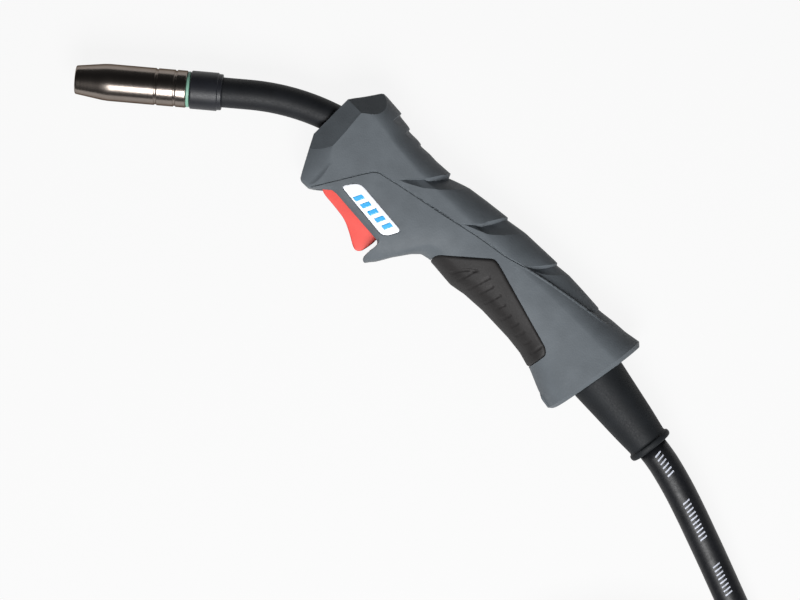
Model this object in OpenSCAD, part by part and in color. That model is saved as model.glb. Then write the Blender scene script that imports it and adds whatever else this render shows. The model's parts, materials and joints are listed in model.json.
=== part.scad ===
// MIG welding torch: bent neck with a push-on gas nozzle, two-part handle with a
// trigger, coaxial power cable and a central plug with a screw-on nut.
// The torch lies on its right side. +X runs from the nozzle to the cable, +Y is the
// back of the handle and +Z its left side, which faces up. The modules below work
// in a frame of their own: z = 0 is the parting plane of the handle, y = 0 the axis
// of the neck where it leaves the torch body. The last lines set the whole torch
// down with its origin at the middle of its base.

/* [Neck] */
// Radius of the bend, on the centre line
bend_r = 112; // [106:1:118]
// Angle of the bend
bend_angle = 40; // [38:1:42]
// Outer radius of the copper neck tube
neck_tube_r = 5; // [4.6:0.1:5.4]
// Wall of the copper neck tube
neck_tube_wall = 2; // [1.6:0.1:2.2]
// Outer radius of the insulating sleeve
sleeve_r = 7.3; // [7:0.1:7.6]
// Straight stretch of sleeve between the bend and the collar
neck_straight = 13.2; // [10:0.1:16]
// Radius of the collar
collar_r = 9.3; // [9:0.1:10]
// Length of the collar
collar_len = 15.6; // [13:0.1:18]
// Radius of the insulating ring
ring_r = 8.7; // [8.2:0.1:8.9]
// Thickness of the insulating ring
ring_len = 1.7; // [1.2:0.1:2.4]

/* [Gas nozzle and contact tip] */
// Outer radius of the gas nozzle
nozzle_r = 9; // [8.8:0.1:9.6]
// Wall of the gas nozzle
nozzle_wall = 1.2; // [1:0.1:1.3]
// Length of the gas nozzle
nozzle_len = 54; // [52:0.5:58]
// Length of the nozzle's cone
cone_len = 14.7; // [12:0.1:18]
// Outer radius of the nozzle's mouth
mouth_r = 7; // [6.6:0.1:8]
// Distance of the contact tip behind the nozzle's mouth
tip_inset = 2.5; // [1:0.1:4]
// Length of the contact tip
tip_len = 25; // [23:0.5:27]
// Radius of the contact tip
tip_r = 3; // [2.8:0.1:3.2]
// Radius of the contact tip's wire bore, for a 1 mm wire
wire_bore_r = 0.55; // [0.45:0.05:0.65]
// Radius of the tip holder
holder_r = 4.6; // [4.4:0.1:4.9]
// Radius of the nozzle spring's wire
spring_wire_r = 0.45; // [0.4:0.05:0.5]

/* [Handle] */
// Length of the handle along its back
handle_len = 182; // [176:1:190]
// Half the width of the head, at the trigger's front
head_w = 18.5; // [17.5:0.1:20]
// Half the width of the waist, at the grip pad
waist_w = 16.5; // [15.5:0.1:17.5]
// Half the width of the rear flare
flare_w = 18.5; // [18:0.1:20]
// Wall of the two shells
wall = 2.4; // [2:0.1:2.6]
// Thickness of the grip pad
pad_t = 1.8; // [1.5:0.1:2]
// Height that the grip pad stands proud of the shells
pad_proud = 0.4; // [0.2:0.1:0.6]
// Thickness of the badge
badge_t = 0.9; // [0.7:0.1:1.2]
// Radius of a screw boss
boss_r = 3.2; // [3:0.1:3.4]
// Radius of the shell screws
screw_r = 1.25; // [1.1:0.05:1.4]

/* [Trigger and switch] */
// Half the width of the trigger
trigger_w = 6; // [5.5:0.1:6.5]
// Gap between the trigger and its window
trigger_gap = 0.5; // [0.4:0.1:0.7]
// Travel of the trigger
trigger_travel = 7; // [5:0.5:8]
// Radius of the trigger pin
pin_r = 1.5; // [1.3:0.1:1.6]
// Width of the switch body, across the torch
switch_w = 6.4; // [6:0.1:7]
// Radius of the switch plunger
plunger_r = 1.2; // [1:0.1:1.3]

/* [Cable] */
// Radius of the power cable
cable_r = 7.5; // [7.3:0.1:7.7]
// Length of the cable support behind the handle
boot_len = 43.4; // [39:0.2:45]
// Radius of the cable support at the handle
boot_r = 13.9; // [13:0.1:14.4]
// Radius of the cable support at its far end
boot_end_r = 10.1; // [9.6:0.1:10.8]
// Radius of the bead at its far end
boot_bead_r = 11.5; // [11:0.1:12]
// Tilt of the cable support below the handle's axis
boot_tilt = 7; // [6.5:0.5:7.5]
// Radius of the innermost loop of the stored cable
coil_inner_r = 62; // [60:1:64]
// Distance between neighbouring loops
coil_pitch = 17; // [16:0.5:18]

/* [Central plug] */
// Radius of the screw-on nut
nut_r = 19.5; // [18.5:0.1:19.8]
// Radius of the nut's thread
nut_thread_r = 16.5; // [16:0.1:17]
// Radius of the plug's housing
housing_r = 16.6; // [16:0.1:16.9]
// Radius of the plug's insulating face
face_r = 13.5; // [13:0.1:14]
// Radius of the centre pin
centre_pin_r = 4.5; // [4.2:0.1:4.8]
// Radius of the two sprung control pins
control_pin_r = 2; // [1.8:0.1:2.2]
// Travel of the control pins
control_travel = 3.5; // [2.5:0.1:4]

/* [Hidden] */
$fn = 64;
eps = 0.01;
far = 60;

// Clearances
running = 0.05;
snug = 0.02;
seam = 0.03;
lap = 0.5;

// Neck: the bend starts at bend_x and ends where the straight stretch begins
bend_x = -50;
bend_end_x = bend_x - bend_r * sin(bend_angle);
bend_end_y = -bend_r * (1 - cos(bend_angle));
bore_r = neck_tube_r - neck_tube_wall;
sleeve_start = 4;
collar_s = neck_straight;
ring_s = collar_s + collar_len;
nozzle_s = ring_s + ring_len;
mouth_s = nozzle_s + nozzle_len;
tip_s = mouth_s - tip_inset - tip_len;
tip_thread_len = 6;
tip_thread_r = tip_r - 0.4;
holder_len = 16;
holder_root = 8;
tube_end_s = tip_s - 4;
insulator_len = 13;
insulator_r = neck_tube_r + 1.5;
nozzle_bore_r = nozzle_r - nozzle_wall;
mouth_wall = 1;
liner_r = 1.9;
liner_bore_r = 0.9;
mouth_x = bend_end_x - mouth_s * cos(bend_angle);
mouth_y = bend_end_y - mouth_s * sin(bend_angle);

// Handle outline: places along X are kept from the front face or from the rear
front_x = -86;
rear_x = front_x + handle_len - 2;
rear_lean = tan(9.4);
back_line = [
    [front_x, 5.6], [front_x + 9.5, 20.1], [front_x + 22, 19.4], [-55, 16.4], [-46, 15.2],
    [-35, 15], [-26, 15.4], [-15, 16.6], [0, 19], [10, 20], [20, 20.8], [40, 21.5],
    [60, 21.2], [rear_x - 20, 20.5], [rear_x - 10, 21.4], [rear_x - 1.6, 22.8], [rear_x, 20.6]
];
belly_line = [
    [front_x, -17.8], [front_x + 3.5, -24.5], [front_x + 7, -31.5], [front_x + 10.5, -37],
    [front_x + 14, -38.5], [front_x + 17, -37.8], [-65, -34.2], [-60, -30.8], [-50, -31.2],
    [-28.5, -32.5], [-22, -31.4], [-17, -29], [-12, -25.4], [-8, -22.2], [-4, -21],
    [7, -21.6], [12, -22.2], [20, -20.7], [32, -20], [50, -20.6], [60, -21.7],
    [rear_x - 24, -24.3], [rear_x - 14, -28], [rear_x - 7, -30.2], [rear_x - 1.6, -30.4],
    [rear_x, -28.4]
];
half_width = [
    [front_x, 10.5], [front_x + 9.5, head_w - 1], [front_x + 15, head_w],
    [front_x + 24, head_w], [-40, waist_w + 0.6], [-10, waist_w], [30, waist_w],
    [60, waist_w + 0.5], [rear_x - 14, flare_w], [rear_x - 1.6, flare_w],
    [rear_x, flare_w - 1.8]
];
middle_line = [[front_x, -6], [-60, -3], [-20, -1], [20, 1], [60, 1], [rear_x, -2]];
back_round = 2.3;
belly_round = [[front_x, 2.6], [-75, 3.4], [-20, 3.4], [0, 2.7], [60, 2.6], [rear_x, 2.8]];
stations = [
    front_x, front_x + 3.5, front_x + 7, front_x + 10.5, front_x + 14, front_x + 17,
    -65, -60, -55, -50, -42, -35, -28.5, -22, -17, -12, -8, -4, 1, 7, 12, 20, 30, 40, 50, 60,
    rear_x - 24, rear_x - 19, rear_x - 14, rear_x - 7, rear_x - 1.6, rear_x
];
arc_steps = 14;

// Places inside the handle
pivot = [-62.5, -27.3];
pivot_boss_r = 3.4;
hub_r = 3;
pin_len = 2 * (head_w - wall - 1.5);
hook_w = 11;
hook_line = [
    [-27, -29], [-26.3, -35.6], [-27.4, -42], [-27.2, -43.8], [-26, -44.6], [-24.3, -44.1],
    [-21.1, -39.5], [-17.4, -33], [-12, -25.4], [-10, -20]
];
window_front = -66.5;
window_rear = -27.4;
window_top = -22;
plunger_x = pivot[0] + 14;
plunger_y = -23.6;
plunger_len = 7;
plunger_gap = 0.15;
switch_x = -58.5;
switch_len = 20;
switch_y = -21.4;
switch_h = 10;
switch_rib_t = 1.5;
switch_rib_up = [1, 4];
switch_rib_h = [10, 5];
terminal_x = [-54, -43];
terminal = [0.6, 2.4, 3];
spring_x = -34.5;
spring_r = 2.4;
spring_turns = 4.5;
spring_steps = 12;
spring_play = 0.1;
spring_seat = -26.6;
spring_ledge = -17.6;
ledge_t = 2;
ledge_w = 8;
body_x = -34;
body_len = 42;
body_r = 9;
tail_r = 4.5;
tail_len = 24;
neck_depth = 20;
neck_nut_len = 6;
neck_nut_r = 10;
nut_room = neck_nut_len + 2;
body_room = 30;
rib_x = [-30, 2];
rib_t = 2;
screws = [[-70, 12.6], [-19.5, -23.2], [1, 14], [58, 15.6], [rear_x - 12, -19]];
screw_len = 18;
screw_head_r = 2.6;
screw_head_len = 2;
head_play = 0.2;
thread_play = 0.1;
pad_from = -4;
pad_to = rear_x - 24;
badge_from = -60;
badge_to = -17;
badge_proud = 0.2;
skin_over = 2;
ferrule_len = 16;
wire_r = 0.7;
wire_y = -12;
wire_z = 1.6;
wire_channel = [70, 3.4, 3.2];
wire_gap = 0.3;
wire_channel_x = -48;
wire_high = switch_y + switch_h + wire_r + 0.4;
wire_bypass = [[-50.4, wire_high, 1.2], [-46.4, wire_high, 2.8], [-41, wire_high, 2.8]];
wire_route = [
    [-38.5, wire_high, 1.8], [-34, wire_y, wire_z], [-10, wire_y, wire_z],
    [10, wire_y, wire_z], [20, -11.4, wire_z], [28, -10, wire_z], [44, -9.2, wire_z]
];
stop_x = [-42, -35];
stop_w = 1.6;
stop_t = 1.6;
stop_play = 0.3;

// Cable support and cable inside it
boot_at = [rear_x + 0.1, -3.9];
boot_dir = [cos(boot_tilt), -sin(boot_tilt), 0];
boot_flange = [-6.5, -4];
boot_groove = [-9, -3.6];
boot_seat = 10;
boot_socket = 20;
cable_play = 1;
boot_flange_r = boot_r + 1.4;
cable_start = body_x + body_len + 1;
boot_tip = [boot_at[0], boot_at[1], 0] + boot_len * boot_dir;
inner_route = [
    [cable_start, 0, 0], [25, 0, 0], [40, 0, 0], [52, -0.2, 0], [64, -0.8, 0], [77, -1.9, 0],
    [boot_at[0], boot_at[1], 0] - 4 * boot_dir, boot_tip - 15 * boot_dir, boot_tip
];

// Floor under the torch, in this frame
lie_h = max(head_w, flare_w);
tie_t = 1;
tie_play = 0.8;
coil_low = cable_r + tie_play / 2 + tie_t + 0.1 - lie_h;
layer_h = 2 * cable_r + 0.6;
layer_count = 2;
coil_x = 254;
coil_y = -160;
coil_start = 65;
coil_end = 270;
half_turn = 180;
spiral_turn = (coil_start - coil_end + 6 * 360 - half_turn) / layer_count;
coil_steps = 24;
climb_dip = 1.6;
coil_sides = 6;
cord_sides = 12;
coil_straight = 2 * cable_r;
tie_angles = [-30, 110, 200];
tie_w = 12;

// How far the climb between the layers has come, from 0 to 1
function climb(a) = min(1, max(0, (a - spiral_turn) / half_turn));
function coil_radius(a) =
    coil_inner_r + coil_pitch / 360 * max(0, spiral_turn - a, a - spiral_turn - half_turn)
    - climb_dip * sin(180 * climb(a));
function coil_height(a) = coil_low + layer_h * pow(climb(a), 2) * (3 - 2 * climb(a));
function coil_point(a) =
    [coil_x + coil_radius(a) * cos(coil_start - a),
     coil_y + coil_radius(a) * sin(coil_start - a), coil_height(a)];
coil_turn = layer_count * spiral_turn + half_turn;
coil_count = ceil(coil_turn * coil_steps / 360);
coil_in_dir = [sin(coil_start), -cos(coil_start), 0];
coil_out_dir = [sin(coil_end), -cos(coil_end), 0];
coil_in = coil_point(0) - coil_straight * coil_in_dir;
coil_out = coil_point(coil_turn) + coil_straight * coil_out_dir;
coil_path = concat(
    [coil_in],
    [for (i = [0:coil_count]) coil_point(coil_turn * i / coil_count)],
    [coil_out]
);

// Route of the cable from its support to the coil, and from the coil to the plug
lead_route = concat(
    [boot_tip],
    [
        [146, -10.5, -0.2], [159, -13.8, -1], [172, -17.9, -2.8], [185, -22.4, -5],
        [198, -27, -7.1], [211, -31.8, -8.8], [224, -36.6, -10], [237, -41.2, -10.6],
        [250, -45.8, -10.8], [262, -50.2, -10.5], [274, -54.9, -10]
    ],
    [coil_in]
);
plug_x = 156;
plug_shift = 12;
plug_y = coil_y - coil_radius(0) + plug_shift;
plug_z = nut_r + 0.5 - lie_h;
cable_stop = 36;
tail_route = concat(
    [coil_out],
    [
        [226, plug_y - 11.5, coil_low + layer_h - 0.2],
        [212, plug_y - 9.4, coil_low + layer_h - 0.5],
        [197, plug_y - 6, coil_low + layer_h - 1.8],
        [182, plug_y - 2.7, coil_low + layer_h - 3.2],
        [168, plug_y - 0.5, plug_z], [plug_x, plug_y, plug_z]
    ],
    [[plug_x - cable_stop, plug_y, plug_z]]
);

// Central plug, measured from its cable side
plug_boot_len = 34;
plug_boot_r = 12.5;
housing_from = 27;
housing_to = 60;
housing_wall = 2.6;
block_from = 22;
cup_r = 8.8;
shaft_r = 8;
lip_t = 1.5;
lip_gap = 0.3;
flange_from = housing_to + 2 * lip_gap + lip_t;
face_from = flange_from + 4;
face_len = 12;
face_to = face_from + face_len;
nut_skirt = 4;
nut_to = face_to + 6;
pin_to = face_to + 20;
o_ring_at = pin_to - 5;
o_ring_wire = 0.4;
o_ring_r = o_ring_wire + 0.05;
centre_root_r = centre_pin_r - 0.3;
control_r = 9;
control_angle = 35;
control_out = 5;
control_back = face_to - 5;
plug_screw_at = 52;
knurls = 24;
knurl_r = 1;

// Origin: the middle of the torch's base, without the free cable and its plug
x_low = mouth_x - mouth_r * sin(bend_angle);
y_low = mouth_y - mouth_r * cos(bend_angle);
x_high = boot_tip[0] + boot_bead_r * sin(boot_tilt);
y_high = max([for (p = back_line) p[1]]);
origin = [(x_low + x_high) / 2, (y_low + y_high) / 2, -lie_h];

// Least distance between two stretches of the coil that are over a third of a turn apart
third = coil_steps / 3;
coil_gap = min([
    for (i = [0:len(coil_path) - 1], j = [i + third:1:len(coil_path) - 1])
        norm(coil_path[i] - coil_path[j])
]) - 2 * cable_r;
echo(coil_least_gap = coil_gap);

function unit(v) = v / norm(v);
function along(p, i) = unit(p[min(i + 1, len(p) - 1)] - p[max(i - 1, 0)]);
function ring_points(p, i, r, sides, ref) =
    let (t = along(p, i), side = unit(cross(t, ref)), up = cross(side, t))
    [for (k = [0:sides - 1])
        p[i] + r * (cos(360 * k / sides) * up + sin(360 * k / sides) * side)];
function wrap(i, k, n) = i * n + k % n;
// Faces of a closed body made of rings with n points each
function skin_faces(rings, n) = concat(
    [for (i = [0:rings - 2], k = [0:n - 1])
        [wrap(i, k, n), wrap(i + 1, k, n), wrap(i, k + 1, n)]],
    [for (i = [0:rings - 2], k = [0:n - 1])
        [wrap(i, k + 1, n), wrap(i + 1, k, n), wrap(i + 1, k + 1, n)]],
    [[for (k = [0:n - 1]) k]],
    [[for (k = [n - 1:-1:0]) (rings - 1) * n + k]]
);

// Round tube swept along points, its rings turned by a reference direction
module sweep(p, r, sides, ref = [0, 0, 1]) {
    rings = [for (i = [0:len(p) - 1]) each ring_points(p, i, r, sides, ref)];
    polyhedron(rings, skin_faces(len(p), sides));
}

// Wire spring along +Z from z = 0
module wire_spring(r, wire, turns, length) {
    count = ceil(turns * spring_steps);
    end = wire + spring_play;
    path = [for (i = [0:count]) let (a = 360 * turns * i / count)
        [r * cos(a), r * sin(a), end + (length - 2 * end) * i / count]];
    sweep(path, wire, 6, [0, 0, 1]);
}

module ring_solid(r_out, r_in, length) {
    difference() {
        cylinder(r = r_out, h = length);
        translate([0, 0, -eps]) cylinder(r = r_in, h = length + 2 * eps);
    }
}

module hex(r, length) {
    cylinder(r = r, h = length, $fn = 6);
}

// Moves children, built along +Z, to s behind the end of the bend
module on_neck(s) {
    translate([bend_end_x, bend_end_y, 0])
        rotate([0, 0, 180 + bend_angle])
            translate([s, 0, 0])
                rotate([0, 90, 0])
                    children();
}

// Tube of the neck's bend, from one angle of the bend to another
module bend(r_out, r_in, from, to) {
    translate([bend_x, -bend_r, 0])
        rotate([0, 0, 90 + from])
            rotate_extrude(angle = to - from, $fn = 96)
                translate([bend_r, 0])
                    difference() {
                        circle(r = r_out);
                        if (r_in > 0) circle(r = r_in);
                    }
}

// The bend from some angle on, the straight stretch after it and, where back isn't 0,
// the one before it. The straight ones are wider by a hair, so that no surface runs
// into the next without an edge
module bent_tube(r_out, r_in, from, length, back = 0) {
    difference() {
        bent_rod(r_out, from, length, back);
        bent_rod(r_in, from == 0 ? 0 : from - 1, length + eps, back == 0 ? 0 : back + eps);
    }
}

module bent_rod(r, from, length, back) {
    bend(r, 0, from, bend_angle);
    on_neck(-lap) cylinder(r = r + seam, h = length + lap);
    if (back > 0) along_x(bend_x - lap) cylinder(r = r + seam, h = back + lap);
}

module along_x(x, y = 0, z = 0) {
    translate([x, y, z]) rotate([0, 90, 0]) children();
}

module on_boot(u) {
    translate([boot_at[0], boot_at[1], 0])
        rotate([0, 0, -boot_tilt])
            translate([u, 0, 0])
                rotate([0, 90, 0])
                    children();
}

module on_plug(u) {
    translate([plug_x - u, plug_y, plug_z]) rotate([0, -90, 0]) children();
}

// ---- Gas nozzle and contact tip ----

module gas_nozzle() {
    color("silver") on_neck(nozzle_s) rotate_extrude()
        polygon([
            [nozzle_bore_r, 0], [nozzle_r - 0.3, 0], [nozzle_r, 0.4],
            [nozzle_r, nozzle_len - cone_len], [mouth_r, nozzle_len],
            [mouth_r - mouth_wall, nozzle_len],
            [nozzle_bore_r, nozzle_len - cone_len + 1]
        ]);
}

module contact_tip() {
    color("#b87333") on_neck(tip_s) difference() {
        union() {
            cylinder(r = tip_thread_r, h = tip_thread_len);
            translate([0, 0, tip_thread_len])
                cylinder(r = tip_r, h = tip_len - tip_thread_len - 4);
            translate([0, 0, tip_len - 4]) cylinder(r1 = tip_r, r2 = tip_r - 0.8, h = 4);
        }
        translate([0, 0, -eps]) cylinder(r = wire_bore_r, h = tip_len + 2 * eps, $fn = 32);
    }
}

module tip_holder() {
    from = tip_s + tip_thread_len - holder_len;
    color("#c9a24a") on_neck(from) difference() {
        union() {
            cylinder(r = bore_r - snug, h = holder_root);
            translate([0, 0, tube_end_s - from])
                cylinder(r = holder_r, h = holder_len - tube_end_s + from);
        }
        translate([0, 0, -eps]) cylinder(r = liner_r + seam + running, h = holder_len);
        translate([0, 0, holder_len - tip_thread_len])
            cylinder(r = tip_thread_r + snug, h = tip_thread_len + eps);
        for (a = [0:60:300])
            rotate([0, 0, a])
                translate([0, 0, holder_len - tip_thread_len - 2])
                    rotate([0, 90, 0])
                        cylinder(r = 0.7, h = holder_r + 1, $fn = 16);
    }
}

module nozzle_spring() {
    r = (insulator_r + spring_wire_r + snug) / cos(180 / spring_steps);
    color("lightgray") on_neck(nozzle_s + 2) wire_spring(r, spring_wire_r, 3.5, 8);
}

module neck_insulator() {
    color("ivory") on_neck(nozzle_s) ring_solid(insulator_r, neck_tube_r + seam + snug, insulator_len);
}

module insulator_ring() {
    color("mediumaquamarine") on_neck(ring_s) ring_solid(ring_r, neck_tube_r + seam + snug, ring_len);
}

// ---- Neck ----

module neck_collar() {
    step = 2.2;
    color("#25272b") on_neck(collar_s) difference() {
        union() {
            cylinder(r = collar_r - 0.5, h = step);
            translate([0, 0, step]) cylinder(r = collar_r, h = collar_len - step);
        }
        translate([0, 0, -eps]) cylinder(r = neck_tube_r + seam + snug, h = collar_len + 2 * eps);
    }
}

module neck_tube() {
    color("#b87333")
        bent_tube(neck_tube_r, bore_r, 0, tube_end_s, body_x + neck_depth - bend_x);
}

module neck_sleeve() {
    color("#1d1f22") bent_tube(sleeve_r, neck_tube_r + snug, sleeve_start, neck_straight);
}

module wire_liner() {
    color("gray")
        bent_tube(liner_r, liner_bore_r, 0, tip_s - 0.5, body_x + body_len + tail_len - bend_x);
}

// ---- Handle ----

function curve(s, n) = sign(s) * pow(abs(s), 2 / n);
// Point of the handle's section at station x; t is 90 at the back, -90 at the belly
function section(x, t, grow) =
    let (
        mid = lookup(x, middle_line),
        reach = t > 0 ? lookup(x, back_line) - mid : mid - lookup(x, belly_line),
        n = t > 0 ? back_round : lookup(x, belly_round),
        y = mid + (reach + grow) * curve(sin(t), n),
        lean = rear_lean * max(0, (x - 50) / (rear_x - 50))
    )
    [x + lean * (y - boot_at[1]), y, (lookup(x, half_width) + grow) * curve(cos(t), n)];
// Half section, closed by a dip below the parting plane where one is asked for
function half_ring(x, grow, dip) =
    let (arc = [for (i = [0:arc_steps]) section(x, 90 - 180 * i / arc_steps, grow)])
    dip == 0 ? arc : concat(
        [arc[0] - [0, 0, dip]], arc, [arc[arc_steps] - [0, 0, dip]]
    );
// Height of the shells' inner face above the belly, at station x and depth z
function shell_floor(x, z) =
    let (
        mid = lookup(x, middle_line),
        reach = mid - lookup(x, belly_line) - wall,
        n = lookup(x, belly_round)
    )
    mid - reach * pow(1 - pow(z / (lookup(x, half_width) - wall), n), 1 / n);
function between(from, to) = concat(
    [from], [for (x = stations) if (x > from + 0.5 && x < to - 0.5) x], [to]
);

// Left half of the handle's outer form, grown by some thickness
module half_form(grow, from, to, dip = 0) {
    xs = between(from, to);
    rings = [for (x = xs) each half_ring(x, grow, dip)];
    polyhedron(rings, skin_faces(len(xs), arc_steps + (dip == 0 ? 1 : 3)));
}

// Hook behind the trigger
module hook() {
    linear_extrude(height = hook_w)
        polygon(hook_line);
}

// What stands in the handle's hollow: ribs, screw bosses, pin boss, spring ledge
module inner_posts() {
    for (x = rib_x)
        translate([x, -far, -1]) cube([rib_t, 2 * far, far]);
    for (p = screws)
        translate([p[0], p[1], -1]) cylinder(r = boss_r, h = far);
    translate([pivot[0], pivot[1], trigger_w + trigger_gap])
        cylinder(r = pivot_boss_r, h = far);
    translate([spring_x - ledge_w / 2, spring_ledge, -1])
        cube([ledge_w, ledge_t, far]);
    translate([switch_x - switch_rib_t - snug, switch_y + switch_rib_up[0], -1])
        cube([switch_rib_t, switch_rib_h[0], far]);
    translate([switch_x + switch_len + snug, switch_y + switch_rib_up[1], -1])
        cube([switch_rib_t, switch_rib_h[1], far]);
}

module pad_outline() {
    hull() {
        translate([1, -16.8]) circle(r = 2.6);
        translate([18.6, -2]) circle(r = 3);
        translate([rear_x - 29.6, -14.4]) circle(r = 2.6);
        translate([rear_x - 30, -far]) circle(r = 2.6);
        translate([1, -far]) circle(r = 2.6);
    }
}

module badge_outline() {
    hull() {
        translate([-55.3, -24.9]) circle(r = 2);
        translate([-51.7, -21.2]) circle(r = 2);
        translate([-27.2, -23]) circle(r = 2);
        translate([-29, -26.8]) circle(r = 2);
    }
}

// Left half of the solid common to both shells
module half_shell(side) {
    inner_from = front_x + wall;
    inner_to = rear_x - wall;
    mirror([0, 0, side > 0 ? 0 : 1]) difference() {
        union() {
            half_form(0, front_x, rear_x);
            hook();
        }
        difference() {
            half_form(-wall, inner_from, inner_to, 1);
            inner_posts();
        }
        bend(sleeve_r + snug, 0, -1, bend_angle);
        along_x(body_x - nut_room) cylinder(r = body_r + snug, h = body_len + body_room);
        translate([window_front, -far, -1])
            cube([window_rear - window_front, far + window_top, trigger_w + trigger_gap + 1]);
        translate([switch_x - snug, switch_y, -1])
            cube([switch_len + 2 * snug, switch_h + 1, switch_w / 2 + 1 + snug]);
        translate([wire_channel_x, wire_y - wire_channel[1] / 2, -1])
            cube(wire_channel + [0, 0, 1]);
        translate([pivot[0], pivot[1], 0]) cylinder(r = pin_r + snug, h = pin_len / 2 + snug);
        on_boot(-boot_socket) cylinder(r = cable_r + cable_play, h = boot_socket);
        on_boot(boot_groove[0]) cylinder(r = boot_flange_r + snug, h = boot_groove[1] - boot_groove[0]);
        on_boot(-boot_seat) cylinder(r = boot_r + snug, h = 2 * boot_seat);
    }
}

// Skin of the left half, between two depths, inside an outline
module half_skin(outer, inner, from, to) {
    intersection() {
        difference() {
            half_form(outer, from, to);
            half_form(inner, from - 1, to + 1, 1);
        }
        translate([0, 0, -1]) linear_extrude(height = far) children();
    }
}

module handle_left() {
    color("#5f6468") difference() {
        half_shell(1);
        half_skin(skin_over, pad_proud - pad_t, pad_from, pad_to) pad_outline();
        half_skin(skin_over, badge_proud - badge_t, badge_from, badge_to) badge_outline();
        for (p = screws)
            translate([p[0], p[1], -1]) cylinder(r = screw_r, h = screw_len / 2 + 1);
    }
}

module handle_right() {
    color("#5f6468") difference() {
        half_shell(-1);
        mirror([0, 0, 1]) half_skin(skin_over, pad_proud - pad_t, pad_from, pad_to) pad_outline();
        for (p = screws) {
            translate([p[0], p[1], -far]) cylinder(r = screw_head_r + head_play, h = far - screw_len / 2);
            translate([p[0], p[1], -far]) cylinder(r = screw_r + thread_play, h = far + 1);
        }
    }
}

module grip_pad() {
    color("#3a3330") for (side = [0, 1])
        mirror([0, 0, side])
            half_skin(pad_proud, pad_proud - pad_t, pad_from, pad_to) pad_outline();
}

module badge() {
    color("whitesmoke")
        half_skin(badge_proud, badge_proud - badge_t, badge_from, badge_to) badge_outline();
}

module shell_screws() {
    color("silver") for (p = screws)
        translate([p[0], p[1], -screw_len / 2 - screw_head_len]) {
            cylinder(r = screw_head_r, h = screw_head_len);
            cylinder(r = screw_r - snug, h = screw_len);
        }
}

// ---- Trigger and switch ----

module trigger() {
    stop_y = max([for (x = stop_x) shell_floor(x, trigger_w + stop_w)]) + stop_play;
    color("#e0584e") difference() {
        union() {
            translate([0, 0, -trigger_w]) linear_extrude(height = 2 * trigger_w)
                polygon([
                    [-65, -30.6], [-65.2, -33.4], [-62.5, -34.6], [-54, -35.4], [-47, -36.2],
                    [-40.5, -39.2], [-35, -42.6], [-32.8, -43.4], [-30.4, -41.8],
                    [-29.2, -37.6], [-28.7, -33.6], [-29.4, -27.6], [-31.6, spring_seat],
                    [-46, -27.4], [plunger_x + 1.8, -27.4],
                    [plunger_x + 1.2, plunger_y - plunger_gap],
                    [plunger_x - 1.2, plunger_y - plunger_gap],
                    [plunger_x - 1.8, -27.4], [pivot[0] + 3, -26.6]
                ]);
            translate([pivot[0], pivot[1], -trigger_w]) cylinder(r = hub_r, h = 2 * trigger_w);
            translate([stop_x[0], stop_y, -trigger_w - stop_w])
                cube([stop_x[1] - stop_x[0], stop_t, 2 * (trigger_w + stop_w)]);
        }
        translate([pivot[0], pivot[1], -far]) cylinder(r = pin_r + running, h = 2 * far);
        translate([spring_x, spring_seat - 1, 0]) rotate([-90, 0, 0])
            cylinder(r = spring_r + 1, h = 5);
    }
}

module trigger_pin() {
    color("silver") translate([pivot[0], pivot[1], -pin_len / 2])
        cylinder(r = pin_r, h = pin_len);
}

module trigger_spring() {
    from = spring_seat - 1 + snug;
    color("lightgray") translate([spring_x, from, 0]) rotate([-90, 0, 0])
        wire_spring(spring_r, 0.4, spring_turns, spring_ledge - from - snug);
}

module switch_body() {
    color("#202022") difference() {
        translate([switch_x, switch_y, -switch_w / 2]) cube([switch_len, switch_h, switch_w]);
        translate([plunger_x, switch_y - 1, 0]) rotate([-90, 0, 0])
            cylinder(r = plunger_r + running, h = plunger_len + 2);
    }
}

module switch_plunger() {
    color("ivory") translate([plunger_x, plunger_y, 0]) rotate([-90, 0, 0])
        cylinder(r = plunger_r, h = plunger_len - 1);
}

module switch_terminals() {
    color("silver") for (x = terminal_x)
        translate([x - terminal[0] / 2, switch_y + switch_h, -terminal[2] / 2])
            cube([terminal[0], terminal[1], terminal[2]]);
}

module control_wires() {
    color("firebrick") for (i = [0, 1]) {
        from = terminal_x[i] + terminal[0] / 2 + wire_gap;
        beside = i == 0 ? wire_bypass : [];
        sweep(concat(
            [[from, wire_high, 0]], beside,
            [for (p = wire_route) [p[0], p[1], (1 - 2 * i) * p[2]]]
        ), wire_r, 8);
    }
}

// ---- Torch body and cable end ----

module torch_body() {
    color("#b5923f") along_x(body_x) difference() {
        union() {
            cylinder(r = body_r, h = body_len);
            cylinder(r = tail_r - 0.6, h = body_len + tail_len);
            for (i = [0:3])
                translate([0, 0, body_len + 3 + 5 * i])
                    cylinder(r1 = tail_r, r2 = tail_r - 0.6, h = 4);
        }
        translate([0, 0, -eps]) cylinder(r = neck_tube_r + seam + snug, h = neck_depth + eps);
        cylinder(r = liner_r + seam + running, h = body_len + tail_len + 1);
    }
}

module neck_nut() {
    color("#c9a24a") along_x(body_x - neck_nut_len) difference() {
        hex(neck_nut_r, neck_nut_len);
        translate([0, 0, -1]) cylinder(r = neck_tube_r + seam + snug, h = neck_nut_len + 2);
    }
}

module cable_ferrule() {
    color("#c9a24a") along_x(cable_start + 2) ring_solid(cable_r + 1, cable_r + snug, ferrule_len);
}

module cable_end() {
    color("#18191b") difference() {
        sweep(inner_route, cable_r, cord_sides);
        along_x(cable_start - 1) cylinder(r = tail_r + snug, h = tail_len + 1);
    }
}

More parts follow.
